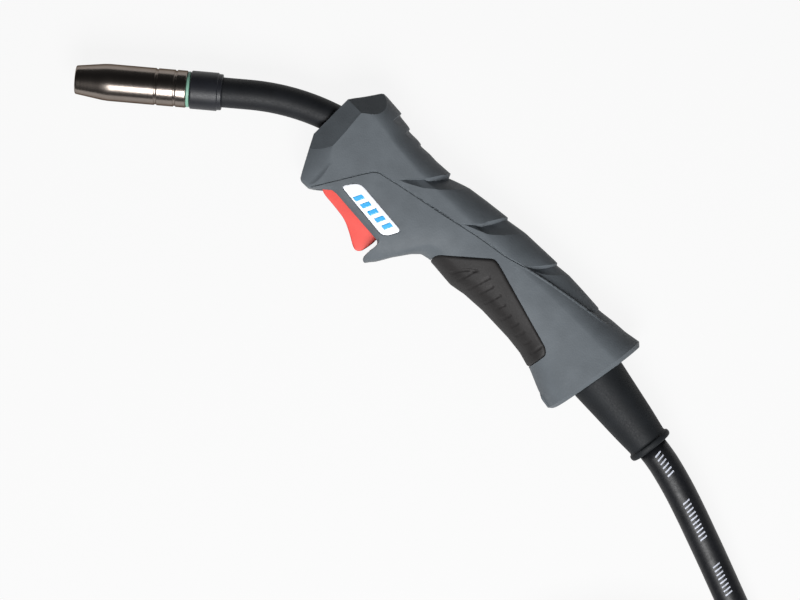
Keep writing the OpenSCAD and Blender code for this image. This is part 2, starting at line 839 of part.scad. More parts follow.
module cable_boot() {
    bead_len = 4;
    inside = boot_flange[0];
    color("#232427") on_boot(0) rotate_extrude()
        polygon([
            [cable_r + 0.1, inside], [boot_flange_r, inside], [boot_flange_r, boot_flange[1]],
            [boot_r - 0.6, boot_flange[1]], [boot_r - 0.6, 0], [boot_r, 0.4],
            [boot_end_r + 0.9, boot_len * 0.68], [boot_end_r, boot_len - bead_len],
            [boot_bead_r - 0.4, boot_len - bead_len + 0.8], [boot_bead_r, boot_len - 2],
            [boot_bead_r - 0.5, boot_len - 0.5], [boot_bead_r - 1.4, boot_len],
            [cable_r + 0.1, boot_len]
        ]);
}

// ---- Free cable ----

module cable_lead() {
    color("#18191b") sweep(lead_route, cable_r, cord_sides);
}

module cable_coil() {
    color("#18191b") sweep(coil_path, cable_r, coil_sides);
}

module cable_tail() {
    color("#18191b") sweep(tail_route, cable_r, cord_sides);
}

// Radii of the loops that pass a direction seen from the coil's middle
function loops_at(direction) =
    let (first = (coil_start - direction + 360) % 360)
    [for (a = [first:360:coil_turn]) coil_radius(a)];

module coil_ties() {
    low = coil_low - cable_r - tie_play / 2;
    high = coil_low + layer_h + cable_r + tie_play;
    color("dimgray") for (direction = tie_angles) {
        inner = min(loops_at(direction)) - cable_r - tie_play;
        outer = max(loops_at(direction)) + cable_r + tie_play;
        translate([coil_x, coil_y, 0]) rotate([0, 0, direction]) difference() {
            translate([inner - tie_t, -tie_w / 2, low - tie_t])
                cube([outer - inner + 2 * tie_t, tie_w, high - low + 2 * tie_t]);
            translate([inner, -tie_w, low]) cube([outer - inner, 2 * tie_w, high - low]);
        }
    }
}

// ---- Central plug ----

module plug_boot() {
    color("#232427") on_plug(0) rotate_extrude()
        polygon(concat(
            [[cable_r + 0.1, 0], [plug_boot_r - 3.4, 0]],
            [for (i = [0:5]) each [
                [plug_boot_r - 2.4 + 0.3 * i, 2 + 4 * i], [plug_boot_r - 2.4 + 0.3 * i, 4 + 4 * i],
                [plug_boot_r - 3.2 + 0.3 * i, 4.6 + 4 * i], [plug_boot_r - 3.2 + 0.3 * i, 5.6 + 4 * i]
            ]],
            [
                [housing_r - housing_wall - 0.2, housing_from + 0.2],
                [housing_r - housing_wall - 0.2, plug_boot_len],
                [cup_r + 0.1, plug_boot_len], [cup_r + 0.1, block_from - 0.2],
                [cable_r + 0.1, block_from - 0.2]
            ]
        ));
}

module plug_housing() {
    color("#1f2023") on_plug(0) difference() {
        rotate_extrude() polygon([
            [housing_r - housing_wall, housing_from], [housing_r - 1, housing_from],
            [housing_r, housing_from + 1], [housing_r, housing_to],
            [shaft_r + snug, housing_to], [shaft_r + snug, housing_to - 14],
            [housing_r - housing_wall, housing_to - 16]
        ]);
        translate([0, 0, plug_screw_at]) rotate([0, 90, 0])
            cylinder(r = 2 + snug, h = housing_r + 1);
        translate([housing_r - 1.6, 0, plug_screw_at]) rotate([0, 90, 0])
            cylinder(r = 3.6, h = 4);
    }
}

module plug_screw() {
    color("silver") on_plug(plug_screw_at) rotate([0, 90, 0]) {
        translate([0, 0, shaft_r - 3]) cylinder(r = 2, h = housing_r - 1.6 - shaft_r + 3);
        translate([0, 0, housing_r - 1.6]) cylinder(r = 3.4, h = 1.2);
    }
}

module plug_block() {
    color("#c9a24a") on_plug(0) difference() {
        rotate_extrude() polygon([
            [0, cable_stop + 0.1], [cable_r + snug, cable_stop + 0.1], [cable_r + snug, block_from],
            [cup_r, block_from], [cup_r, cable_stop + 3], [shaft_r, cable_stop + 4],
            [shaft_r, flange_from], [face_r, flange_from], [face_r, face_from],
            [centre_root_r, face_from], [centre_root_r, face_to], [centre_pin_r, face_to],
            [centre_pin_r, o_ring_at - o_ring_r],
            [centre_pin_r - 2 * o_ring_r, o_ring_at - o_ring_r],
            [centre_pin_r - 2 * o_ring_r, o_ring_at + o_ring_r],
            [centre_pin_r, o_ring_at + o_ring_r], [centre_pin_r, pin_to - 0.6],
            [centre_pin_r - 0.6, pin_to], [0, pin_to]
        ]);
        translate([0, 0, cable_stop]) cylinder(r = liner_r, h = far + 20);
        translate([0, 0, plug_screw_at]) rotate([0, 90, 0])
            translate([0, 0, shaft_r - 3 - snug]) cylinder(r = 2 + snug, h = 6);
    }
}

module plug_nut() {
    rear = housing_to + lip_gap;
    color("#2a2b2e") on_plug(0) difference() {
        rotate_extrude() polygon([
            [shaft_r + lip_gap, rear], [housing_r + lip_gap, rear],
            [housing_r + lip_gap, rear - nut_skirt], [nut_r - 1, rear - nut_skirt],
            [nut_r, rear - nut_skirt + 1], [nut_r, nut_to - 1], [nut_r - 1, nut_to],
            [nut_thread_r, nut_to], [nut_thread_r, rear + lip_t], [shaft_r + lip_gap, rear + lip_t]
        ]);
        for (i = [0:knurls - 1])
            rotate([0, 0, 360 * (i + 0.5) / knurls])
                translate([nut_r + knurl_r * 0.35, 0, rear])
                    cylinder(r = knurl_r, h = nut_to - rear + 1, $fn = 24);
    }
}

module plug_face() {
    color("#17181a") on_plug(face_from) difference() {
        cylinder(r = face_r, h = face_len);
        translate([0, 0, -eps]) cylinder(r = centre_root_r + snug, h = face_len + 2 * eps);
        for (side = [-1, 1])
            rotate([0, 0, side * control_angle])
                translate([control_r, 0, -eps])
                    cylinder(r = control_pin_r + running, h = face_len + 2 * eps);
    }
}

module on_control_pin(side, u) {
    on_plug(u) rotate([0, 0, side * control_angle]) translate([control_r, 0, 0]) children();
}

module control_pin(side) {
    color("gold") on_control_pin(side, control_back) {
        cylinder(r = control_pin_r, h = face_to + control_out - control_back - 1);
        translate([0, 0, face_to + control_out - control_back - 1])
            cylinder(r1 = control_pin_r, r2 = control_pin_r - 0.8, h = 1);
    }
}

module control_spring(side) {
    color("lightgray") on_control_pin(side, face_from + snug)
        wire_spring(control_pin_r - 0.5, 0.25, 4, control_back - face_from - 2 * snug);
}

module control_pin_1() {
    control_pin(-1);
}

module control_pin_2() {
    control_pin(1);
}

module control_spring_1() {
    control_spring(-1);
}

module control_spring_2() {
    control_spring(1);
}

module plug_o_ring() {
    color("#101010") on_plug(o_ring_at) rotate_extrude()
        translate([centre_pin_r - o_ring_r, 0])
            circle(r = o_ring_wire, $fn = 32);
}

module liner_nut() {
    color("#c9a24a") on_plug(pin_to) difference() {
        hex(centre_pin_r - 0.6, 5);
        translate([0, 0, -1]) cylinder(r = wire_bore_r + 0.4, h = 7, $fn = 32);
    }
}

// ---- Assembly ----

translate(-origin) {
    gas_nozzle();
    contact_tip();
    tip_holder();
    nozzle_spring();
    neck_insulator();
    insulator_ring();
    neck_collar();
    neck_tube();
    neck_sleeve();
    wire_liner();
    handle_left();
    handle_right();
    grip_pad();
    badge();
    trigger();
    trigger_pin();
    trigger_spring();
    switch_body();
    switch_plunger();
    switch_terminals();
    control_wires();
    shell_screws();
    torch_body();
    neck_nut();
    cable_ferrule();
    cable_end();
    cable_boot();
    cable_lead();
    cable_coil();
    cable_tail();
    coil_ties();
    plug_boot();
    plug_housing();
    plug_screw();
    plug_block();
    plug_nut();
    plug_face();
    control_pin_1();
    control_pin_2();
    control_spring_1();
    control_spring_2();
    plug_o_ring();
    liner_nut();
}
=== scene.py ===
import json
import math

import bpy
import numpy as np
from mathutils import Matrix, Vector


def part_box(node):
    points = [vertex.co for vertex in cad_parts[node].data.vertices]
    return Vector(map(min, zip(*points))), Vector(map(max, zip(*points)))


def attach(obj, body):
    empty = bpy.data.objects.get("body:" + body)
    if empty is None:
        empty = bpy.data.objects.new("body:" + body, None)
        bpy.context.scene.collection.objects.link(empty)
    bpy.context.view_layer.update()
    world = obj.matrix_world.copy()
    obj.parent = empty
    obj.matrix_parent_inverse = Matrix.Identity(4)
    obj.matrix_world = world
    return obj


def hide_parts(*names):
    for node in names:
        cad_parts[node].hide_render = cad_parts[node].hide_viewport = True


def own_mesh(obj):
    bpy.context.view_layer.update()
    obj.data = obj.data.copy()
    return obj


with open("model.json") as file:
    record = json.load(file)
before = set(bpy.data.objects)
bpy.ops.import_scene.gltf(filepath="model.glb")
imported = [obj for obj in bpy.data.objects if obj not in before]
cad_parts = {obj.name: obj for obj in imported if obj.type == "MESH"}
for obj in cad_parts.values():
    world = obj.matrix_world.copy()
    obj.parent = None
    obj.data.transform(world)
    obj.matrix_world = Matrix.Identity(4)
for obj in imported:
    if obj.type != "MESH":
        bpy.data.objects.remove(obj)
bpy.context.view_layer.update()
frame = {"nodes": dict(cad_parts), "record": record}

# Looks of a MIG welding torch. Sizes are in millimetres in the torch's own frame, where
# z = 0 is the parting plane of the handle and the neck leaves the torch body along -X at
# y = 0. at() turns a point of that frame into metres in the part's frame.

MM = 0.001
ROOT = "torch_frame"
PIVOT = np.array([-62.5, -27.3, 0.0])
pin_low, pin_high = (np.array(corner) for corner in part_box("trigger_pin"))
SHIFT = (pin_low + pin_high) / 2 / MM - PIVOT


def at(points):
    """Points of the torch's own frame, in millimetres, as metres in the part's frame."""
    return (np.asarray(points, float) + SHIFT) * MM


# ---------------------------------------------------------------- camera

FOCUS = (0.0, -45.0, 0.0)
CAMERA_HEIGHT = 1400.0
FIELD_WIDTH = 388.0
SENSOR = 36.0


def add_camera():
    data = bpy.data.cameras.new("camera")
    data.sensor_width = SENSOR
    data.lens = SENSOR * CAMERA_HEIGHT / FIELD_WIDTH
    data.clip_end = 10
    camera = bpy.data.objects.new("camera", data)
    camera.location = at(np.array(FOCUS) + (0, 0, CAMERA_HEIGHT))
    camera.rotation_euler = (0, 0, math.radians(45))
    bpy.context.collection.objects.link(camera)
    bpy.context.scene.camera = camera


# ---------------------------------------------------------------- curves and meshes


def smoothstep(low, high, value):
    t = np.clip((np.asarray(value, float) - low) / (high - low), 0, 1)
    return t * t * (3 - 2 * t)


def line_through(points, soft):
    """y as a function of x along a polyline whose corners are rounded over about soft mm."""
    xs, ys = np.array(points, float).T
    fine = np.arange(xs[0] - 12, xs[-1] + 12, 0.1)
    slope0 = (ys[1] - ys[0]) / (xs[1] - xs[0])
    slope1 = (ys[-1] - ys[-2]) / (xs[-1] - xs[-2])
    value = np.interp(fine, xs, ys)
    value = np.where(fine < xs[0], ys[0] + slope0 * (fine - xs[0]), value)
    value = np.where(fine > xs[-1], ys[-1] + slope1 * (fine - xs[-1]), value)
    reach = np.arange(-4 * soft, 4 * soft + 0.05, 0.1)
    weights = np.exp(-0.5 * (reach / soft) ** 2)
    value = np.convolve(value, weights / weights.sum(), "same")
    edge = int(4 * soft / 0.1) + 1
    value[:edge] = value[edge]
    value[-edge:] = value[-edge - 1]
    return lambda x: np.interp(x, fine, value)


def smooth_path(points, step):
    """A Catmull-Rom curve through points, with a point about every step mm."""
    p = np.array(points, float)
    ends = np.vstack([2 * p[0] - p[1], p, 2 * p[-1] - p[-2]])
    out = []
    for i in range(1, len(ends) - 2):
        a, b, c, d = ends[i - 1 : i + 3]
        count = max(1, int(round(np.linalg.norm(c - b) / step)))
        for t in np.arange(count) / count:
            out.append(
                0.5 * (2 * b + (c - a) * t + (2 * a - 5 * b + 4 * c - d) * t**2
                       + (3 * b - a - 3 * c + d) * t**3)
            )
    out.append(p[-1])
    return np.array(out)


def new_object(name, vertices, faces, material):
    mesh = bpy.data.meshes.new(name)
    mesh.from_pydata([tuple(v) for v in vertices], [], [tuple(f) for f in faces])
    mesh.validate()
    mesh.polygons.foreach_set("use_smooth", [True] * len(mesh.polygons))
    obj = bpy.data.objects.new(name, mesh)
    bpy.context.collection.objects.link(obj)
    mesh.materials.append(material)
    return obj


def grid_faces(rows, columns, wrap=False):
    """Quads of a grid of rows by columns, its columns closed into a ring where wrap is set."""
    last = columns if wrap else columns - 1
    r, c = np.meshgrid(np.arange(rows - 1), np.arange(last), indexing="ij")
    a = r * columns + c
    b = r * columns + (c + 1) % columns
    return np.stack([a, b, b + columns, a + columns], -1).reshape(-1, 4)


def frames_along(path, up=(0, 0, 1)):
    """Side and up vectors of each point of a path."""
    tangent = np.gradient(path, axis=0)
    tangent /= np.linalg.norm(tangent, axis=1)[:, None]
    side = np.cross(tangent, up)
    side /= np.linalg.norm(side, axis=1)[:, None]
    return tangent, side, np.cross(side, tangent)


def tube(name, path, radius, sides, material, up=(0, 0, 1)):
    """Round tube with closed ends along a path, in mm."""
    _, side, up = frames_along(path, up)
    angle = np.linspace(0, 2 * math.pi, sides, endpoint=False)
    ring = side[:, None] * np.cos(angle)[None, :, None] + up[:, None] * np.sin(angle)[None, :, None]
    points = path[:, None] + ring * radius
    faces = [list(f) for f in grid_faces(len(path), sides, wrap=True)]
    faces += [list(range(sides))[::-1], list(range((len(path) - 1) * sides, len(path) * sides))]
    return new_object(name, at(points.reshape(-1, 3)), faces, material)


def axis_frame(origin, direction):
    """Rotation and place of a local frame whose +Z runs along direction."""
    z = np.array(direction, float) / np.linalg.norm(direction)
    x = np.cross((0, 0, 1), z)
    x /= np.linalg.norm(x)
    return np.array(origin, float), np.stack([x, np.cross(z, x), z], 1)


def rounded(points, radius, steps=4, closed=False):
    """A polygon's points with each corner replaced by a short arc of about the radius."""
    p = np.array(points, float)
    n = len(p)
    out = []
    for i in range(n):
        if not closed and i in (0, n - 1):
            out.append(p[i])
            continue
        a, b, c = p[i - 1], p[i], p[(i + 1) % n]
        u, v = a - b, c - b
        lu, lv = np.linalg.norm(u), np.linalg.norm(v)
        r = radius[i] if hasattr(radius, "__len__") else radius
        cut = min(r, 0.45 * lu, 0.45 * lv)
        if cut < 1e-4:
            out.append(b)
            continue
        start, end = b + u / lu * cut, b + v / lv * cut
        for t in np.linspace(0, 1, steps + 1):
            out.append((1 - t) ** 2 * start + 2 * t * (1 - t) * b + t * t * end)
    return np.array(out)


def supported(profile, reach=0.15):
    """Adds points near the ends of long stretches, which keep their smooth shading straight."""
    out = [profile[0]]
    for a, b in zip(profile[:-1], profile[1:]):
        length = np.linalg.norm(b - a)
        if length > 5 * reach:
            step = (b - a) * reach / length
            out += [a + step, b - step]
        out.append(b)
    return np.array(out)


def lathe(name, profile, frame_at, material, segments=96):
    """Turns a closed profile of (radius, height) about a local +Z."""
    origin, axes = frame_at
    profile = supported(np.array(profile, float))
    angle = np.linspace(0, 2 * math.pi, segments, endpoint=False)
    local = np.stack(
        [profile[:, 0, None] * np.cos(angle), profile[:, 0, None] * np.sin(angle),
         np.broadcast_to(profile[:, 1, None], (len(profile), segments))], -1)
    faces = grid_faces(len(profile), segments, wrap=True).tolist()
    n = (len(profile) - 1) * segments
    faces += [[n + k, n + (k + 1) % segments, (k + 1) % segments, k] for k in range(segments)]
    points = local.reshape(-1, 3) @ axes.T + origin
    return new_object(name, at(points), faces, material)


def joined(meshes):
    """Several pairs of points and faces as one pair."""
    starts = np.cumsum([0] + [len(points) for points, _ in meshes[:-1]])
    return (np.vstack([points for points, _ in meshes]),
            np.vstack([np.asarray(faces) + start for (_, faces), start in zip(meshes, starts)]))


def dress(obj, body, slot, *nodes):
    """Lets a piece ride on a body and hides the CAD nodes that it stands for; slot is not used."""
    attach(obj, body)
    if nodes:
        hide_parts(*nodes)
    return obj


# ---------------------------------------------------------------- materials


def set_inputs(node, values):
    for name, value in values.items():
        node.inputs[name].default_value = value
    return node


def add_node(nodes, kind, values={}):
    """A new shader node with some of its inputs set."""
    return set_inputs(nodes.new("ShaderNode" + kind), values)


def shader(name, colour, roughness, metallic=0.0, specular=0.5):
    material = bpy.data.materials.new(name)
    material.use_nodes = True
    nodes, links = material.node_tree.nodes, material.node_tree.links
    bsdf = set_inputs(nodes["Principled BSDF"], {
        "Base Color": (*colour, 1), "Roughness": roughness, "Metallic": metallic,
        "Specular IOR Level": specular})
    return material, nodes, links, bsdf, add_node(nodes, "TexCoord")


def noise(nodes, links, place, size_mm, detail=2.0, stretch=None, turn=None):
    """Noise whose grains are about size_mm across; stretch scales its axes after the turn."""
    texture = add_node(nodes, "TexNoise", {"Scale": 1 / (size_mm * MM), "Detail": detail})
    source = place.outputs["Object"]
    for setting, value in (("Rotation", turn), ("Scale", stretch)):
        if value is not None:
            mapping = add_node(nodes, "Mapping", {setting: value})
            links.new(source, mapping.inputs["Vector"])
            source = mapping.outputs["Vector"]
    links.new(source, texture.inputs["Vector"])
    return texture


MOTTLE_RANGE = (0.35, 0.65)  # of the noise, over which the colour goes from dark to light


def vary_colour(nodes, links, bsdf, texture, dark, light):
    ramp = add_node(nodes, "ValToRGB")
    ramp.color_ramp.elements[0].position, ramp.color_ramp.elements[1].position = MOTTLE_RANGE
    ramp.color_ramp.elements[0].color = (*dark, 1)
    ramp.color_ramp.elements[1].color = (*light, 1)
    links.new(texture.outputs["Fac"], ramp.inputs["Fac"])
    links.new(ramp.outputs["Color"], bsdf.inputs["Base Color"])


def vary_roughness(nodes, links, bsdf, texture, low, high):
    scale = add_node(nodes, "MapRange", {
        "From Min": 0.3, "From Max": 0.7, "To Min": low, "To Max": high})
    links.new(texture.outputs["Fac"], scale.inputs["Value"])
    links.new(scale.outputs["Result"], bsdf.inputs["Roughness"])


def bump(nodes, links, bsdf, height, depth_mm):
    node = add_node(nodes, "Bump", {"Strength": 1.0, "Distance": depth_mm * MM})
    links.new(height, node.inputs["Height"])
    links.new(node.outputs["Normal"], bsdf.inputs["Normal"])


def moulded(name, colour, roughness=0.5, grain=0.5, depth=0.05, spread=0.08, specular=0.5):
    """Moulded plastic or rubber: fine grain, faint mottling and uneven gloss."""
    material, nodes, links, bsdf, place = shader(name, colour, roughness, specular=specular)
    mottle = noise(nodes, links, place, 9.0, 3.0)
    c = np.array(colour)
    vary_colour(nodes, links, bsdf, mottle, c * (1 - spread), c * (1 + spread))
    fine = noise(nodes, links, place, grain, 3.0)
    vary_roughness(nodes, links, bsdf, fine, roughness - 0.06, roughness + 0.08)
    bump(nodes, links, bsdf, fine.outputs["Fac"], depth)
    return material


def turned_metal(name, colour, roughness, axis_turn=None, line_mm=0.12, depth=0.01, spread=0.06,
                 uneven=0.06, edge=(1, 1, 1)):
    """Metal with fine turning or drawing lines across the local X axis; edge tints the reflections at its
    rim, where a dark tint is painted shade.
    """
    material, nodes, links, bsdf, place = shader(name, colour, roughness, metallic=1.0)
    # A dark edge colour here is painted shade on the grazing reflections, not a property of the metal.
    bsdf.inputs["Specular Tint"].default_value = (*edge, 1)
    lines = noise(nodes, links, place, line_mm, 2.0, (1, 0.02, 0.02), axis_turn)
    c = np.array(colour)
    cloud = noise(nodes, links, place, 7.0, 3.0)
    vary_colour(nodes, links, bsdf, cloud, c * (1 - spread), np.minimum(c * (1 + spread), 1))
    vary_roughness(nodes, links, bsdf, lines, roughness - uneven, roughness + uneven)
    bump(nodes, links, bsdf, lines.outputs["Fac"], depth)
    return material


def strongest(nodes, links, outputs):
    """The highest of some outputs."""
    last = outputs[0]
    for output in outputs[1:]:
        either = add_node(nodes, "Math")
        either.operation = "MAXIMUM"
        links.new(last, either.inputs[0])
        links.new(output, either.inputs[1])
        last = either.outputs[0]
    return last


def woven(name, colour, thread_mm=0.6):
    """Woven strap: crossed threads as a checked height."""
    material, nodes, links, bsdf, place = shader(name, colour, 0.85)
    waves = []
    for turn in ((0, 0, 0.4), (0, 0, 0.4 + math.pi / 2)):
        mapping = add_node(nodes, "Mapping", {"Rotation": turn})
        links.new(place.outputs["Object"], mapping.inputs["Vector"])
        wave = add_node(nodes, "TexWave", {"Scale": 0.3 / (thread_mm * MM), "Distortion": 0.4})
        links.new(mapping.outputs["Vector"], wave.inputs["Vector"])
        waves.append(wave)
    threads = strongest(nodes, links, [wave.outputs["Fac"] for wave in waves])
    bump(nodes, links, bsdf, threads, 0.15)
    fuzz = noise(nodes, links, place, 0.8, 2.0)
    c = np.array(colour)
    vary_colour(nodes, links, bsdf, fuzz, c * 0.6, c * 1.5)
    return material


BEND_ANGLE = math.radians(40)
ALONG_NECK = (0, 0, -BEND_ANGLE)

handle_grey = moulded("handle_grey", (0.100, 0.113, 0.125), 0.46, 0.8, 0.10, 0.06, 0.10)
pad_rubber = moulded("pad_rubber", (0.014, 0.0128, 0.0128), 0.58, 0.6, 0.05, 0.16, 0.28)
trigger_red = moulded("trigger_red", (0.70, 0.085, 0.070), 0.45, 0.5, 0.015, 0.03, 0.3)
black_plastic = moulded("black_plastic", (0.012, 0.013, 0.017), 0.42, 0.5, 0.03, 0.10, 0.35)
sleeve_rubber = moulded("sleeve_rubber", (0.008, 0.009, 0.011), 0.55, 0.8, 0.04, 0.15, 0.25)
boot_rubber = moulded("boot_rubber", (0.0085, 0.010, 0.0118), 0.62, 0.8, 0.05, 0.14, 0.22)
cable_rubber = moulded("cable_rubber", (0.006, 0.0065, 0.008), 0.45, 1.2, 0.04, 0.15, 0.28)
ring_green = moulded("ring_green", (0.19, 0.38, 0.29), 0.45, 0.4, 0.02, 0.06)
white_plastic = moulded("white_plastic", (0.72, 0.70, 0.64), 0.45, 0.4, 0.02, 0.05)
badge_white = moulded("badge_white", (0.80, 0.82, 0.87), 0.28, 0.3, 0.006, 0.015)
badge_blue = moulded("badge_blue", (0.02, 0.35, 0.72), 0.30, 0.3, 0.006, 0.03)
print_white = moulded("print_white", (0.40, 0.42, 0.48), 0.55, 0.3, 0.02, 0.12, 0.3)
wire_red = moulded("wire_red", (0.35, 0.03, 0.02), 0.4, 0.4, 0.01, 0.08)
# Nickel: its dark edge tint is painted shade, darkening the grazing reflections along the nozzle's rims.
nickel = turned_metal(
    "nickel", (0.27, 0.235, 0.21), 0.24, ALONG_NECK, 0.5, 0.00012, 0.04, 0.015, (0.20, 0.17, 0.15))
copper = turned_metal("copper", (0.76, 0.42, 0.27), 0.30, ALONG_NECK, 0.2, 0.008, 0.12)
brass = turned_metal("brass", (0.77, 0.60, 0.30), 0.28, None, 0.2, 0.008, 0.08)
steel = turned_metal("steel", (0.56, 0.57, 0.59), 0.34, None, 0.2, 0.008, 0.08)
strap_weave = woven("strap_weave", (0.035, 0.036, 0.04))

SLOT_LOOKS = {
    "nickel": nickel, "copper": copper, "brass": brass, "spring_steel": steel, "steel": steel,
    "white_plastic": white_plastic, "green_plastic": ring_green, "black_plastic": black_plastic,
    "black_rubber": sleeve_rubber, "grey_plastic": handle_grey, "pad_rubber": pad_rubber,
    "badge_white": badge_white, "trigger_red": trigger_red, "wire_red": wire_red,
    "cable_rubber": cable_rubber, "boot_rubber": boot_rubber, "strap": strap_weave,
}


def dress_cad_nodes():
    """Every CAD node that stays gets the looks of its material slot."""
    slots = {s["node"]: s["material_slot"] for s in frame["record"]["subparts"]}
    for node, obj in frame["nodes"].items():
        look = SLOT_LOOKS[slots[node]]
        obj.data.materials.clear()
        obj.data.materials.append(look)


# ---------------------------------------------------------------- power cable

CABLE_R = 7.5
BOOT_AT = np.array([94.1, -3.9, 0.0])
BOOT_TILT = math.radians(7)
BOOT_DIR = np.array([math.cos(BOOT_TILT), -math.sin(BOOT_TILT), 0.0])
BOOT_LEN = 43.4
COIL_AT = np.array([254.0, -160.0])
COIL_START, COIL_END, HALF_TURN = 65.0, 270.0, 180.0
COIL_INNER, COIL_PITCH, LAYER_H = 62.0, 17.0, 2 * CABLE_R + 0.6
COIL_LAYERS = 2
COIL_LOW = -9.5
CLIMB_DIP = 1.6
SPIRAL_TURN = (COIL_START - COIL_END + 6 * 360 - HALF_TURN) / COIL_LAYERS
COIL_TURN = COIL_LAYERS * SPIRAL_TURN + HALF_TURN
STRAIGHT = 2 * CABLE_R
PLUG_X = 156.0
PLUG_Z = 1.5
CABLE_STOP = 36.0


def climb_at(turn):
    """How far the climb from the lower layer to the upper one has come, from 0 to 1."""
    return np.clip((turn - SPIRAL_TURN) / HALF_TURN, 0, 1)


def coil_radius(turn):
    spread = np.maximum(np.maximum(SPIRAL_TURN - turn, turn - SPIRAL_TURN - HALF_TURN), 0)
    return COIL_INNER + COIL_PITCH / 360 * spread - CLIMB_DIP * np.sin(np.pi * climb_at(turn))


def coil_points(turn):
    """Points of the coil; turn is how far round it they lie, in degrees."""
    climb = climb_at(turn)
    angle = np.radians(COIL_START - turn)
    r = coil_radius(turn)
    height = COIL_LOW + LAYER_H * climb**2 * (3 - 2 * climb)
    return np.stack([COIL_AT[0] + r * np.cos(angle), COIL_AT[1] + r * np.sin(angle), height], -1)


def heading(angle):
    a = math.radians(angle)
    return np.array([math.sin(a), -math.cos(a), 0.0])


PLUG_SHIFT = 12.0
PLUG_Y = COIL_AT[1] - coil_radius(0.0) + PLUG_SHIFT
LEAD_ROUTE = [
    (146, -10.5, -0.2), (159, -13.8, -1), (172, -17.9, -2.8), (185, -22.4, -5),
    (198, -27, -7.1), (211, -31.8, -8.8), (224, -36.6, -10), (237, -41.2, -10.6),
    (250, -45.8, -10.8), (262, -50.2, -10.5), (274, -54.9, -10),
]
TAIL_ROUTE = [
    (226, PLUG_Y - 11.5, COIL_LOW + LAYER_H - 0.2), (212, PLUG_Y - 9.4, COIL_LOW + LAYER_H - 0.5),
    (197, PLUG_Y - 6, COIL_LOW + LAYER_H - 1.8), (182, PLUG_Y - 2.7, COIL_LOW + LAYER_H - 3.2),
    (168, PLUG_Y - 0.5, PLUG_Z), (PLUG_X, PLUG_Y, PLUG_Z), (PLUG_X - CABLE_STOP, PLUG_Y, PLUG_Z),
]
BOOT_TIP = BOOT_AT + BOOT_LEN * BOOT_DIR


def cable_path():
    """The whole free cable: lead, coil and tail, every few millimetres."""
    coil_in = coil_points(np.array([0.0]))[0] - STRAIGHT * heading(COIL_START)
    coil_out = coil_points(np.array([COIL_TURN]))[0] + STRAIGHT * heading(COIL_END)
    steps = int(COIL_TURN / 3)
    turns = coil_points(COIL_TURN * np.arange(steps + 1) / steps)
    lead = smooth_path([BOOT_TIP, *LEAD_ROUTE, coil_in], 4)
    tail = smooth_path([coil_out, *TAIL_ROUTE], 4)
    return np.vstack([lead, turns, tail])


PRINT_WORDS = (6, 10, 8)
PRINT_STEP, PRINT_GAP, PRINT_RISE = 2.2, 13.0, 0.05
PRINT_SLANT = 0.5
PRINT_SIZE = (0.75, 3.9)  # along the cable and across it
PRINT_FROM, PRINT_TO = 3.0, 150.0


def make_print(path):
    """Rows of plain white bars printed along the top of the cable's first stretch."""
    along = np.concatenate([[0], np.cumsum(np.linalg.norm(np.diff(path, axis=0), axis=1))])
    _, sides, ups = frames_along(path)
    points, faces = [], []
    at_s, word = PRINT_FROM, 0
    while at_s < PRINT_TO:
        for _ in range(PRINT_WORDS[word % len(PRINT_WORDS)]):
            add_bar(points, faces, at_s, along, path, sides, ups)
            at_s += PRINT_STEP
        at_s += PRINT_GAP
        word += 1
    return new_object("cable_print_bars", at(np.array(points)), faces, print_white)


def add_bar(points, faces, at_s, along, path, sides, ups):
    """One slanted bar, as a thin patch that follows the round of the cable."""
    rows, columns = 4, 9
    half_turn = PRINT_SIZE[1] / 2 / CABLE_R
    first = len(points)
    for s in np.linspace(0, PRINT_SIZE[0], rows):
        for turn in np.linspace(-half_turn, half_turn, columns):
            here = at_s + s + PRINT_SLANT * turn / half_turn
            centre, side, up = (
                np.array([np.interp(here, along, line[:, k]) for k in range(3)])
                for line in (path, sides, ups))
            out = side * math.sin(turn) + up * math.cos(turn)
            points.append(centre + out * (CABLE_R + PRINT_RISE))
    for face in grid_faces(rows, columns):
        faces.append([first + int(k) for k in face])


# ---------------------------------------------------------------- handle

FRONT_X, REAR_X = -86.0, 94.0
REAR_LEAN = math.tan(math.radians(9.4))
BACK = line_through([
    (-86, 5.6), (-76.6, 20.2), (-74, 20.25), (-64, 19.6), (-55, 17.0), (-46, 15.6), (-35, 15.1),
    (-26, 15.7), (-15, 17.1), (-5, 18.6), (8, 20.2), (20, 21.0), (40, 21.7), (60, 21.2),
    (75, 20.7), (85, 21.4), (94, 23.2),
], 0.5)
BELLY = line_through([
    (-86, -17.8), (-75.4, -37.6), (-74.2, -38.3), (-70, -38.2), (-67.8, -36.8), (-60.6, -30.7),
    (-58, -30.4), (-28.2, -32.5), (-26.7, -34), (-26.4, -43.9), (-25.6, -44.6), (-24.3, -44.1),
    (-21.1, -39.5), (-17.4, -33), (-12, -25.4), (-8.5, -22), (-4, -21), (0, -21.2), (7, -21.8),
    (12, -22.2), (20, -20.7), (32, -20), (50, -20.6), (60, -21.7), (70, -24.3), (80, -28.1),
    (86, -30.4), (94, -31.6),
], 0.25)
# The depth that shapes the sides: the belly without its chin, window and hook
KEEL = line_through([
    (-86, -38), (-60, -44), (-28, -47), (-18, -40), (-8, -26), (0, -22.4), (12, -22.4),
    (20, -21.2), (32, -20.4), (50, -21), (60, -22), (70, -24.6), (80, -28.4), (94, -31),
], 2.5)
HALF_WIDTH = line_through([
    (-86, 18.4), (-62, 18.3), (-46, 17.5), (-25, 16.9), (10, 16.5), (40, 16.4), (62, 16.6),
    (74, 16.9), (84, 17.6), (94, 18.45),
], 1.5)
CROWN = line_through([
    (-86, 8), (-72, 8.5), (-52, 5.5), (-35, 4.2), (0, 5.5), (20, 6.2), (50, 7), (75, 7.2),
    (94, 6.5),
], 6)
UPPER_ROUND = line_through([(-86, 2.0), (-72, 1.7), (-55, 1.45), (-35, 1.55), (94, 1.6)], 3)
LOWER_ROUND = line_through([(-86, 3.4), (-25, 3.2), (0, 2.6), (60, 2.6), (94, 2.8)], 4)
